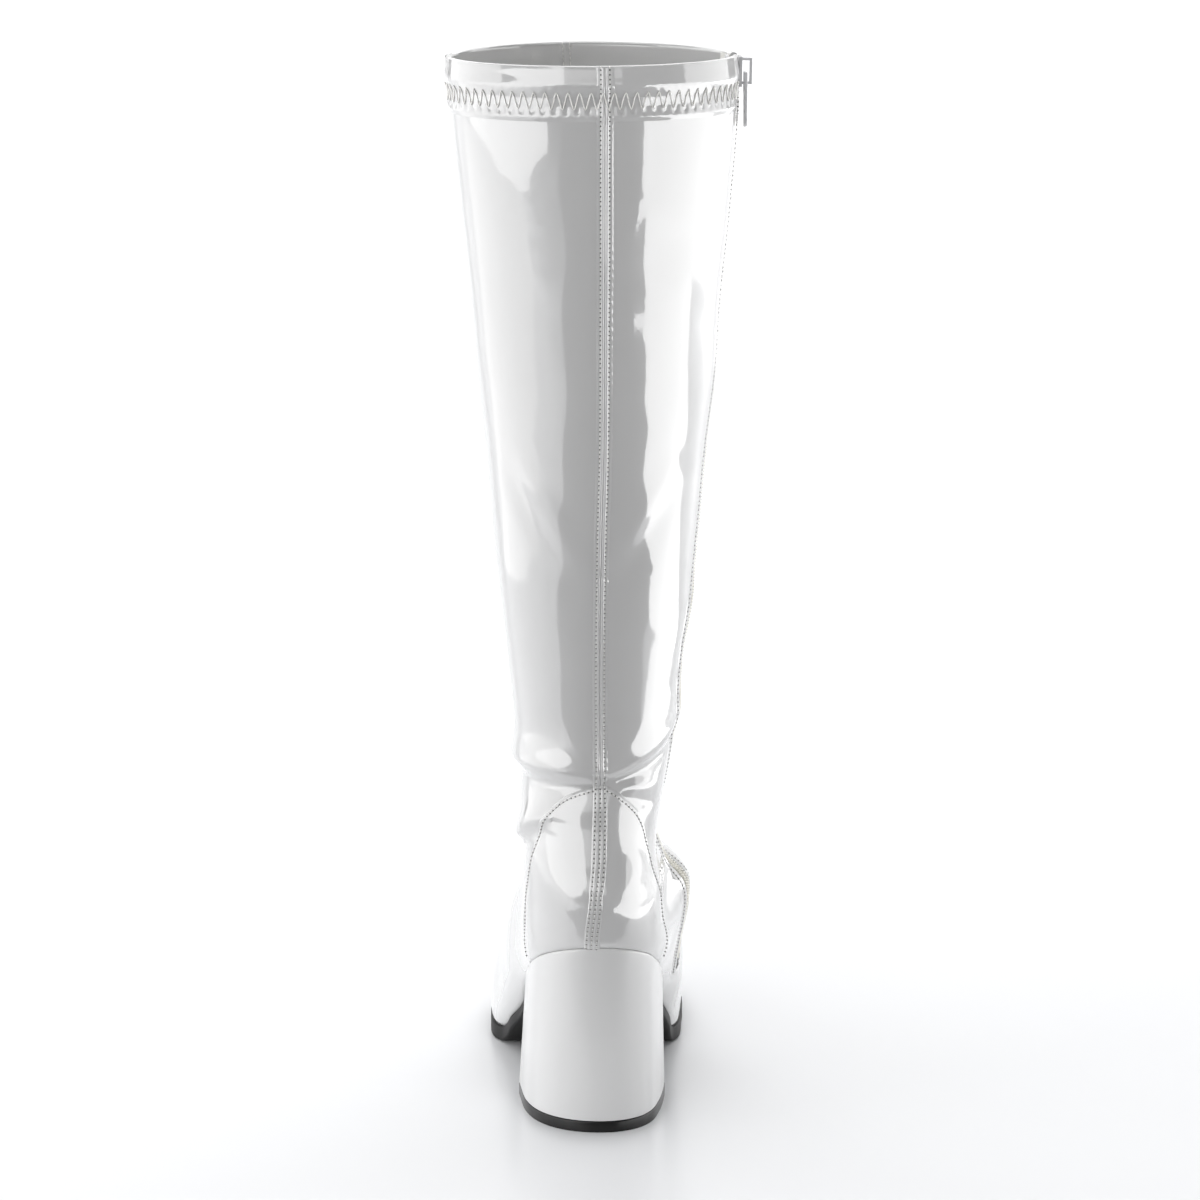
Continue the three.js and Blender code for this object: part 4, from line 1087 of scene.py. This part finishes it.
# Half of the seam's cross profile: distance from its middle and height. The other half mirrors it.
HALF_SEAM = [(0.12, 0.06), (0.4, 0.5), (0.85, 0.68), (1.3, 0.48), (1.75, 0.14), (2.3, 0.22), (2.9, 0.12),
             (3.8, -0.12)]
UPPER_SEAM = [(-side, high) for side, high in HALF_SEAM[::-1]] + HALF_SEAM
SEAM_FOOT = 1.75
SEAM_THREAD_LIFT = 0.24
SEAM_START = 0.02
PUCKER = 0.045


def puckers(t, a, side):
    """The thread pulls the film in a little at every other stitch."""
    step = np.arange(t.shape[0])[:, None]
    return PUCKER * np.cos(step * math.pi / 2) * (np.abs(side[None, :]) > 1.3) * (np.abs(side[None, :]) < 3)


back_seam = strip("back_seam", *seam_path(SEAM_START, T_COUNTER, 200, 0.9), UPPER_SEAM, patent, extra=puckers)
for k, sign in enumerate((-1, 1)):
    t, a = seam_path(SEAM_START, T_COUNTER, 200, 2.0)
    stitches(f"back_seam_thread_{k}", t, a + sign * SEAM_FOOT / reach(t, a), SEAM_THREAD_LIFT)
print("back seam", len(back_seam.data.polygons))

# %% [markdown]
# ## Heel counter
# The counter is a stiff panel sewn over the shaft's foot. Its top edge rises to a point behind the heel.
# The patch runs from that edge down to the heel's rim, and its edge is turned under, so it stands half a
# millimetre proud. It is laid ring by ring between its two edges, because a panel cut out of the skin
# would have a ragged edge.

# %% Counter panel
# Top edge in side view, from the tip down: place along the foot and height above the heel seat, as shares.
COUNTER_SEAM = [(.042, .1714), (.0546, .1547), (.0672, .1353), (.0765, .1144), (.088, .0908),
                (.104, .063), (.126, .024), (.150, -.0175), (.176, -.060)]


def soften_line(values, passes=6):
    """Rounds the corners of a line; its two ends stay."""
    for _ in range(passes):
        values = np.concatenate([values[:1], (values[:-2] + 2 * values[1:-1] + values[2:]) / 4, values[-1:]])
    return values


def counter_edge(sign, count):
    """Points t, a along the counter's top edge, from its tip to the sole."""
    xz = np.array([(x * FOOT_LENGTH, HEEL_HEIGHT + up * SHAFT_HEIGHT) for x, up in COUNTER_SEAM])
    t, a = place_at(xz, sign < 0)
    tip_a = float(back_angle(np.array([T_COUNTER]), seam_y(np.array([COUNTER_TOP])))[0])
    near = tip_a + sign * np.array([0.0, 0.11])
    t = np.concatenate([[T_COUNTER, T_COUNTER + 0.014], t])
    a = np.concatenate([near, a])
    place = np.linspace(0, len(t) - 1, count)
    return soften_line(through(t, place)), soften_line(through(a, place))


COUNTER_ROLL = 1.3


def make_counter():
    """The panel between its two edges, with its own edge rolled under."""
    outer_t, outer_a = counter_edge(1, 96)
    inner_t, inner_a = counter_edge(-1, 96)
    t = outer_t[1:]
    left = outer_a[1:]
    right = np.interp(t, inner_t, inner_a)
    v = np.linspace(-1, 1, 113)
    u = np.sign(v) * (1 - (1 - np.abs(v)) ** 1.7)
    tt = np.repeat(t[:, None], len(u), 1)
    aa = right[:, None] + (left - right)[:, None] * (u[None, :] + 1) / 2
    form = form_point(tt, aa)
    edge = np.concatenate([form_point(outer_t, outer_a), form_point(inner_t, inner_a)])
    far = np.full(form.shape[:2], 1e9)
    for k in range(len(edge)):
        far = np.minimum(far, np.linalg.norm(form - edge[k], axis=-1))
    rise = np.clip(far / COUNTER_ROLL, 0, 1)
    high = COUNTER_LIFT * (rise * (2 - rise)) - 0.12 * np.exp(-((far / 0.35) ** 2))
    points = skin(tt, aa, high)
    points[..., 2] = np.maximum(points[..., 2], sole_top(points[..., 0]) + 0.1)
    piece = new_piece("heel_counter", points.reshape(-1, 3), grid_faces(len(t), len(u)), patent)
    return piece


counter = make_counter()
# The thread lies so far inside the edge, down and towards the middle; sections are about 9.5 mm apart here.
THREAD_DOWN = 0.935 / 9.5
THREAD_IN = 1.02
for k, sign in enumerate((-1, 1)):
    t, a = (line[3:84] for line in counter_edge(sign, 90))
    stitches(f"counter_thread_{k}", t + THREAD_DOWN, a - sign * THREAD_IN / reach(t, a), COUNTER_LIFT + 0.08,
             pitch=1.9)
print("counter", len(counter.data.polygons))

# %% Tape behind the heel
HALF_TAPE = [(0.4, 0.78), (0.9, 0.88), (1.5, 0.85), (2.0, 0.64), (2.4, 0.76), (2.8, 0.66), (3.2, 0.35)]
TAPE_SEAM = [(-side, high) for side, high in HALF_TAPE[::-1]] + [(0, 0.62)] + HALF_TAPE
heel_tape = strip("heel_seam_tape", *seam_path(T_COUNTER - 0.03, T_FEATHER, 90, 0.9), TAPE_SEAM, patent,
                  extra=puckers)
for k, side in enumerate((-2.0, 0, 2.0)):
    t, a = seam_path(T_COUNTER, T_FEATHER, 60, 2.0)
    stitches(f"heel_tape_thread_{k}", t, a + side / reach(t, a), 0.72)
print("heel tape", len(heel_tape.data.polygons))

# %% [markdown]
# ## Collar band
# The film is folded in at the collar and held by an elastic zigzag. The band bulges a little above the
# thread, and each low point of the zigzag pulls a small pit. A displacement picture could draw that too,
# but real geometry keeps its outline, and the band's columns can be counted to match the thread.

# %% Band and zigzag
ZIG_PITCH = 4.5
ZIG_TOP = COLLAR - 10.4
ZIG_LOW = COLLAR - 17.0
ZIG_COLUMNS = 8
PIT = 0.45
CREST = 0.08


def t_of_shaft(z):
    """Place of the shaft's ring at this height."""
    heights = COLUMNS[1][:len(SHAFT_ROWS)]
    ts = np.linspace(0, len(SHAFT_ROWS) - 1, 600)
    return np.interp(-np.asarray(z), -through(heights, ts), ts)


def shaft_ring(z):
    """Angles from the slot's back edge round to its front edge at this height, and the length up to each."""
    ups = (np.atleast_1d(z) - HEEL_HEIGHT) / SHAFT_HEIGHT
    front = place_at(zip_side(HALF_SLOT + 0.15, ups), True)[1]
    back = place_at(zip_side(-HALF_SLOT - 0.15, ups), True)[1]
    fine = np.linspace(float(back[0]), float(front[0]) + 2 * math.pi, 1500)
    return fine, running_length(form_point(np.full(1500, float(t_of_shaft(z))), fine))


def make_band():
    """Rings of the band, each with the pits and crests that the zigzag pulls into it."""
    zs = COLLAR - np.concatenate([[0.4, 0.8, 1.4], np.linspace(2.4, BAND_LOW, 30)])
    rings = [shaft_ring(z) for z in zs]
    total = rings[0][1][-1]
    count = int(total / ZIG_PITCH * ZIG_COLUMNS) + 1
    share = np.linspace(0, 1, count)
    phase = share * (count - 1) / ZIG_COLUMNS * 2 * math.pi
    edge = np.clip(np.minimum(share, 1 - share) * total / 2.0, 0, 1)
    rows = []
    for z, (fine, length) in zip(zs, rings):
        a = np.interp(np.linspace(0, length[-1], count), length, fine)
        drop = COLLAR - z
        pit = PIT * math.exp(-((drop - 17.6) / 1.5) ** 2) * (0.5 - 0.5 * np.cos(phase)) ** 2
        crest = CREST * math.exp(-((drop - 9.6) / 1.6) ** 2) * (0.5 + 0.5 * np.cos(phase)) ** 2
        slow = 0.10 * np.sin(share * 61 + 1.3) * np.sin(share * 23) * math.exp(-((drop - 6) / 6) ** 2)
        fade = band_fade(drop)
        high = (band_rise(z) + (slow - pit - crest) * fade) * (0.35 + 0.65 * edge) - 0.12 * (1 - fade)
        rows.append(skin(np.full(count, float(t_of_shaft(z))), a, high))
    return new_piece("collar_band", np.concatenate(rows), grid_faces(len(zs), count), patent), count


band, band_columns = make_band()


def zigzag_points():
    """The thread's path: straight legs, with a small rounded turn at each end."""
    legs = 2 * ((band_columns - 1) // ZIG_COLUMNS)
    leg = np.arange(6 * legs) / 6
    straight = 1 - np.abs(1 - leg % 2)
    rounded = 0.5 - 0.5 * np.cos(math.pi * straight)
    zs = ZIG_TOP + (ZIG_LOW - ZIG_TOP) * (0.65 * rounded + 0.35 * straight)
    fine, length = shaft_ring((ZIG_TOP + ZIG_LOW) / 2)
    a = np.interp(leg / legs * length[-1], length, fine)
    over_seam = 0.35 * np.exp(-((np.abs(np.radians(wrapped(a))) * 50) / 2.6) ** 4)
    return skin(t_of_shaft(zs), a, band_rise(zs) + 0.27 + over_seam)


def tube_along(name, points, radius, sides, material):
    """A round thread through the points."""
    points = np.asarray(points, float)
    tangent = np.gradient(points, axis=0)
    tangent /= np.linalg.norm(tangent, axis=1, keepdims=True)
    out = points - np.array([ORIGIN_X, 0, 0])
    out[:, 2] = 0
    side = np.cross(tangent, out)
    side /= np.linalg.norm(side, axis=1, keepdims=True)
    up = np.cross(side, tangent)
    turn = np.arange(sides) / sides * 2 * math.pi
    rows = points[:, None] + radius * (side[:, None] * np.cos(turn)[None, :, None]
                                       + up[:, None] * np.sin(turn)[None, :, None])
    return new_piece(name, rows.reshape(-1, 3), grid_faces(len(points), sides, closed=True), material)


zigzag = tube_along("collar_zigzag", zigzag_points(), 0.26, 6, thread)
print("band", len(band.data.polygons), "zigzag", len(zigzag.data.polygons))

# %% [markdown]
# ## Front seam
# The shaft's front seam is plain: a groove with two rows of thread. It shows inside the collar too, as a
# narrow taped line. It hardly shows in the photo, so the same helpers make it, without needle holes.

# %% Front seam outside and inside
T_INSTEP = 11.4
INSIDE_SEAM = [(3.0, -RIM), (2.6, -RIM - 0.35), (0.3, -RIM - 0.4), (0, -RIM - 0.15), (-0.3, -RIM - 0.4),
               (-2.6, -RIM - 0.35), (-3.0, -RIM)]


def front_angle(t):
    """The seam starts a little to one side at the collar and reaches the middle above the instep."""
    return math.pi - 0.10 * np.clip(1 - t / 8, 0, 1)


outside = np.linspace(SEAM_START, T_INSTEP, 220)
outside_t, outside_a = even_path(outside, front_angle(outside), 1.4)
front_seam = strip("front_seam", outside_t, outside_a, UPPER_SEAM, patent)
for k, sign in enumerate((-1, 1)):
    stitches(f"front_seam_thread_{k}", outside_t, outside_a + sign * SEAM_FOOT / reach(outside_t, outside_a),
             SEAM_THREAD_LIFT, holes=False)
inner_t = np.linspace(0.04, 1.1, 40)
inner_a = front_angle(inner_t)
strip("front_seam_inside", inner_t, inner_a, INSIDE_SEAM, patent)
for k, sign in enumerate((-1, 1)):
    stitches(f"front_seam_inner_thread_{k}", inner_t, inner_a + sign * 1.6 / reach(inner_t, inner_a),
             -RIM - 0.45, holes=False)
print("front seam", len(front_seam.data.polygons))

# %% [markdown]
# ## Zip
# The film is turned under along the slot, so each edge is a round bead with a row of thread behind it. The
# coil's loops are set along the zip's line by the same kind of tree as the stitches. A bevelled curve
# could make the bead, but a strip with its own profile stays on the skin and meets the slot's edge.

# %% Beads and threads beside the zip
zip_ups = np.linspace(ZIP_END + 0.004, 0.972, 420)


def zip_strip(name, profile, sign, material):
    """A bead beside the zip; profile holds pairs of distance from its middle and height."""
    cols = []
    for out, lift in profile:
        base = skin(*place_at(zip_side(sign * out, zip_ups), True), lift)
        base[:, 2] = np.maximum(base[:, 2], sole_top(base[:, 0]) + 0.2)
        cols.append(base)
    points = np.stack(cols, 1).reshape(-1, 3)
    faces = grid_faces(len(zip_ups), len(cols), flip=sign > 0)
    return new_piece(name, points, faces, material)


BEAD_THREAD = HALF_SLOT + 2.3
BEAD = [(HALF_SLOT - 0.15, -0.7), (HALF_SLOT - 0.25, 0.0), (HALF_SLOT - 0.1, 0.4), (HALF_SLOT + 0.35, 0.6),
        (HALF_SLOT + 1.0, 0.56), (HALF_SLOT + 1.7, 0.36), (HALF_SLOT + 2.3, 0.2), (HALF_SLOT + 2.8, 0.28),
        (HALF_SLOT + 3.5, 0.14), (HALF_SLOT + 4.3, -0.1)]
for name, sign in (("front", 1), ("back", -1)):
    zip_strip(f"zip_edge_{name}", BEAD, sign, patent)
    line = zip_side(sign * BEAD_THREAD, np.linspace(ZIP_END + 0.01, 0.968, 200))
    stitches(f"zip_thread_{name}", *place_at(line, True), 0.3)

# %% Coil loops
# A fine nylon coil has a loop every 1.3 mm or so; each is drawn as a flat bead across half the coil.
LOOP_PITCH = 1.3
LOOP_SIZE = (0.75, 2.4)
HALF_COIL = 1.35
coil_ups = np.linspace(ZIP_END + 0.022, 0.962, 300)
for name, offset in (("front", HALF_COIL), ("back", -HALF_COIL)):
    middle = skin(*place_at(zip_side(offset, coil_ups), True), -0.15)
    along_points(f"zip_loops_{name}", middle, LOOP_PITCH, *LOOP_SIZE, coil_nylon)

# %% [markdown]
# ## Finishes of the kept CAD pieces
# The insole and the zip's tapes and coil strip are right as they are; they only take their materials. The
# slider, the pull and the stop keep their shape and get rounded edges, which catch the light as cast metal
# does.

# %% Dress the CAD nodes
def node_objects(name):
    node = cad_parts[name]
    return list(node) if isinstance(node, (list, tuple)) else [node]


NODE_FINISH = {
    "insole": lining, "zip_tape_front": tape, "zip_tape_back": tape, "zip_coil": coil_nylon,
    "zip_bottom_stop": plated, "zip_slider": enamel, "zip_pull": enamel,
}
for name, finish in NODE_FINISH.items():
    for o in node_objects(name):
        for slot in o.material_slots:
            slot.material = finish


# %% Slider, pull and stop with rounded edges
def softened(node, width, body, finish):
    """The CAD node's own shape with its edges rounded over, as die casting leaves them."""
    bm = bmesh.new()
    for o in node_objects(node):
        part = o.data.copy()
        part.transform(o.matrix_world)
        bm.from_mesh(part)
    bmesh.ops.remove_doubles(bm, verts=bm.verts, dist=1e-6)
    bmesh.ops.dissolve_limit(bm, angle_limit=math.radians(2), verts=bm.verts, edges=bm.edges)
    mesh = bpy.data.meshes.new(node + "_cast")
    bm.to_mesh(mesh)
    bm.free()
    mesh.materials.clear()
    mesh.materials.append(finish)
    piece = linked(node + "_cast", mesh)
    bevel = piece.modifiers.new("edge", "BEVEL")
    bevel.width = width * MM
    bevel.segments = 3
    bevel.limit_method = "ANGLE"
    bevel.angle_limit = math.radians(30)
    apply_modifiers(piece)
    smooth_faces(piece.data, sharp=60)
    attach(piece, body)
    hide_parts(node)
    return piece


slider = softened("zip_slider", 0.28, BOOT, enamel)
pull = softened("zip_pull", 0.3, PULL, enamel)
stop = softened("zip_bottom_stop", 0.2, BOOT, plated)
for piece in (slider, pull, stop):
    print(piece.name, len(piece.data.polygons), "faces")

# %% [markdown]
# ## Studio
# A pale glossy floor runs far back, as the photo's does. Patent mirrors the room, so the room is built for
# it: soft boxes at the sides make the long highlights, boards on the floor fill the film's lower sides,
# and the dim field behind the camera with a grey card before it makes the grey band down the middle of the
# shaft. One lamp could light the boot as brightly, but its film would then mirror nothing.

# %% Floor and the grey card before it
def sheet(name, corners, material, faces=None):
    """A stage piece through these points, in metres: one flat face, or the faces given."""
    mesh = bpy.data.meshes.new(name)
    mesh.from_pydata(corners, [], faces or [tuple(range(len(corners)))])
    mesh.materials.append(material)
    linked(name, mesh)


# A painted board with a soft gloss shows the boot's foot blurred.
floor_finish = new_material("pale_gloss_board", "#eeeff1", Roughness=0.24, IOR=1.33)
sheet("floor", [(-5, -6, 0), (9, -6, 0), (9, 6, 0), (-5, 6, 0)], floor_finish)
card_finish = new_material("matte_grey_card", "#4a4a4c", Roughness=0.9)
GAP_CARD = [(-0.16, 0.30, 0.001), (-3.2, 0.80, 0.001), (-3.2, -2.29, 0.001), (-0.16, -0.494, 0.001)]
sheet("dark_gap_card", GAP_CARD, card_finish)

# %% Lights
def glow(name, strength):
    """A soft box's lit cloth: it only gives light, the same at every point."""
    material = bpy.data.materials.new(name)
    material.use_nodes = True
    nodes = material.node_tree.nodes
    nodes.remove(nodes["Principled BSDF"])
    lamp = add_node(material.node_tree, "ShaderNodeEmission",
                    {"Strength": strength, "Color": linear("#ffffff")})
    material.node_tree.links.new(lamp.outputs["Emission"], nodes["Material Output"].inputs["Surface"])
    return material


def wall(name, x0, y0, x1, y1, z0, z1, strength):
    """An upright bright panel between two plan points."""
    sheet(name, [(x0, y0, z0), (x1, y1, z0), (x1, y1, z1), (x0, y0, z1)], glow(name, strength))


def ceiling(name, x0, x1, y, z, strength):
    """A level bright panel over the floor, as wide to the left as to the right."""
    sheet(name, [(x0, -y, z), (x1, -y, z), (x1, y, z), (x0, y, z)], glow(name, strength))


wall("back_wall", 9, -7, 9, 7, -1, 7, 1.0)
wall("left_panel", -1.2, 2.0, 2.4, 2.6, 0.0, 2.2, 1.9)
wall("right_panel", -1.4, -3.7, 2.4, -3.7, 0.0, 2.0, 1.8)
# Boards on the floor, seen in the film's lower sides and in the counter.
RIGHT_BOARD = [(-0.10, -0.46, 0.002), (-2.6, -1.93, 0.002), (-2.6, -3.6, 0.002), (-0.4, -3.6, 0.002),
         (0.08, -1.44, 0.002), (0.40, -0.46, 0.002)]
sheet("right_bright_board", RIGHT_BOARD, glow("right_bright_board", 3.7))
LEFT_BOARD = [(0.05, 0.62, 0.002), (-0.62, 0.80, 0.002), (-1.35, 1.45, 0.002), (-1.35, 2.0, 0.002),
              (0.9, 2.0, 0.002), (0.5, 0.62, 0.002)]
sheet("left_bright_board", LEFT_BOARD[::-1], glow("left_bright_board", 1.9))
ceiling("far_floor_lamp", 0.9, 6, 3, 1.9, 1.9)
ceiling("top_panel", -0.4, 2.6, 1.2, 2.4, 1.4)
ceiling("overhead", -0.9, -0.4, 1.2, 2.4, 2.0)

# %% The room's own faint light
world = bpy.data.worlds.new("studio")
bpy.context.scene.world = world
world.use_nodes = True
background = world.node_tree.nodes["Background"]
background.inputs["Color"].default_value = (0.9, 0.92, 0.95, 1)
background.inputs["Strength"].default_value = 0.02
bpy.context.scene.view_settings.view_transform = "Standard"

# %% Low soft boxes seen in the film
def low_box(name, columns, radius, strength):
    """A bright sheet standing round the boot; columns are (degrees from behind, low z, high z) in metres."""
    points, faces = [], []
    for degrees, low, high in columns:
        turn = math.radians(degrees)
        x, y = -radius * math.cos(turn), radius * math.sin(turn)
        points += [(x, y, low), (x, y, high)]
    for k in range(len(columns) - 1):
        faces.append((2 * k, 2 * k + 2, 2 * k + 3, 2 * k + 1))
    sheet(name, points, glow(name, strength), faces)


LEFT_KEY = [(12, .45, .74), (20, .30, .74), (26, .15, .74), (34, .10, .74), (41, .04, .74), (50, .01, .60),
            (57, .01, .45), (63, .03, .34), (72, .06, .25), (88, .105, .20), (101, .145, .165)]
RIGHT_KEY = [(-36, 0, .09), (-48, 0, .17), (-60, 0, .21), (-90, 0, .21), (-116, 0, .21), (-143, 0, .21)]
low_box("left_key", LEFT_KEY, 1.4, 2.9)
low_box("right_key", RIGHT_KEY, 1.5, 3.5)
# Dim fields behind the camera, for the middle of the shaft.
low_box("behind_camera", [(-24, .42, .85), (24, .42, .85)], 2.4, 1.2)
wall("front_wall", -6, -6, -6, 6, -1, 5, 0.15)

# %% Lamps and cards that no view should show
# They light the film and are mirrored in it, but a camera that walks round the boot looks through them.
UNSEEN = ("dark_gap_card", "right_bright_board", "left_bright_board", "far_floor_lamp", "top_panel",
          "overhead", "left_key", "right_key", "behind_camera")
for name in UNSEEN:
    bpy.data.objects[name].visible_camera = False

# %% [markdown]
# ## Camera
# The photo was taken from behind with a long lens, a little above the collar. The camera's height,
# distance and pitch were worked out from the collar's ellipse, the heel and the floor. Placing a camera by
# eye would be quicker, but the heel's height and the collar's opening would not both fit.

# %% Camera
CAMERA_PLACE = (-2.0285, -0.0035, 0.645)
CAMERA_LOOKS_DOWN = 11.936
camera_data = bpy.data.cameras.new("camera")
camera_data.sensor_width = 36
camera_data.lens = 153.12
camera = linked("camera", camera_data)
camera.location = CAMERA_PLACE
camera.rotation_euler = (math.radians(90 - CAMERA_LOOKS_DOWN), 0, math.radians(-90))
bpy.context.scene.camera = camera
print("camera at", CAMERA_PLACE, "looking down by", CAMERA_LOOKS_DOWN, "degrees")
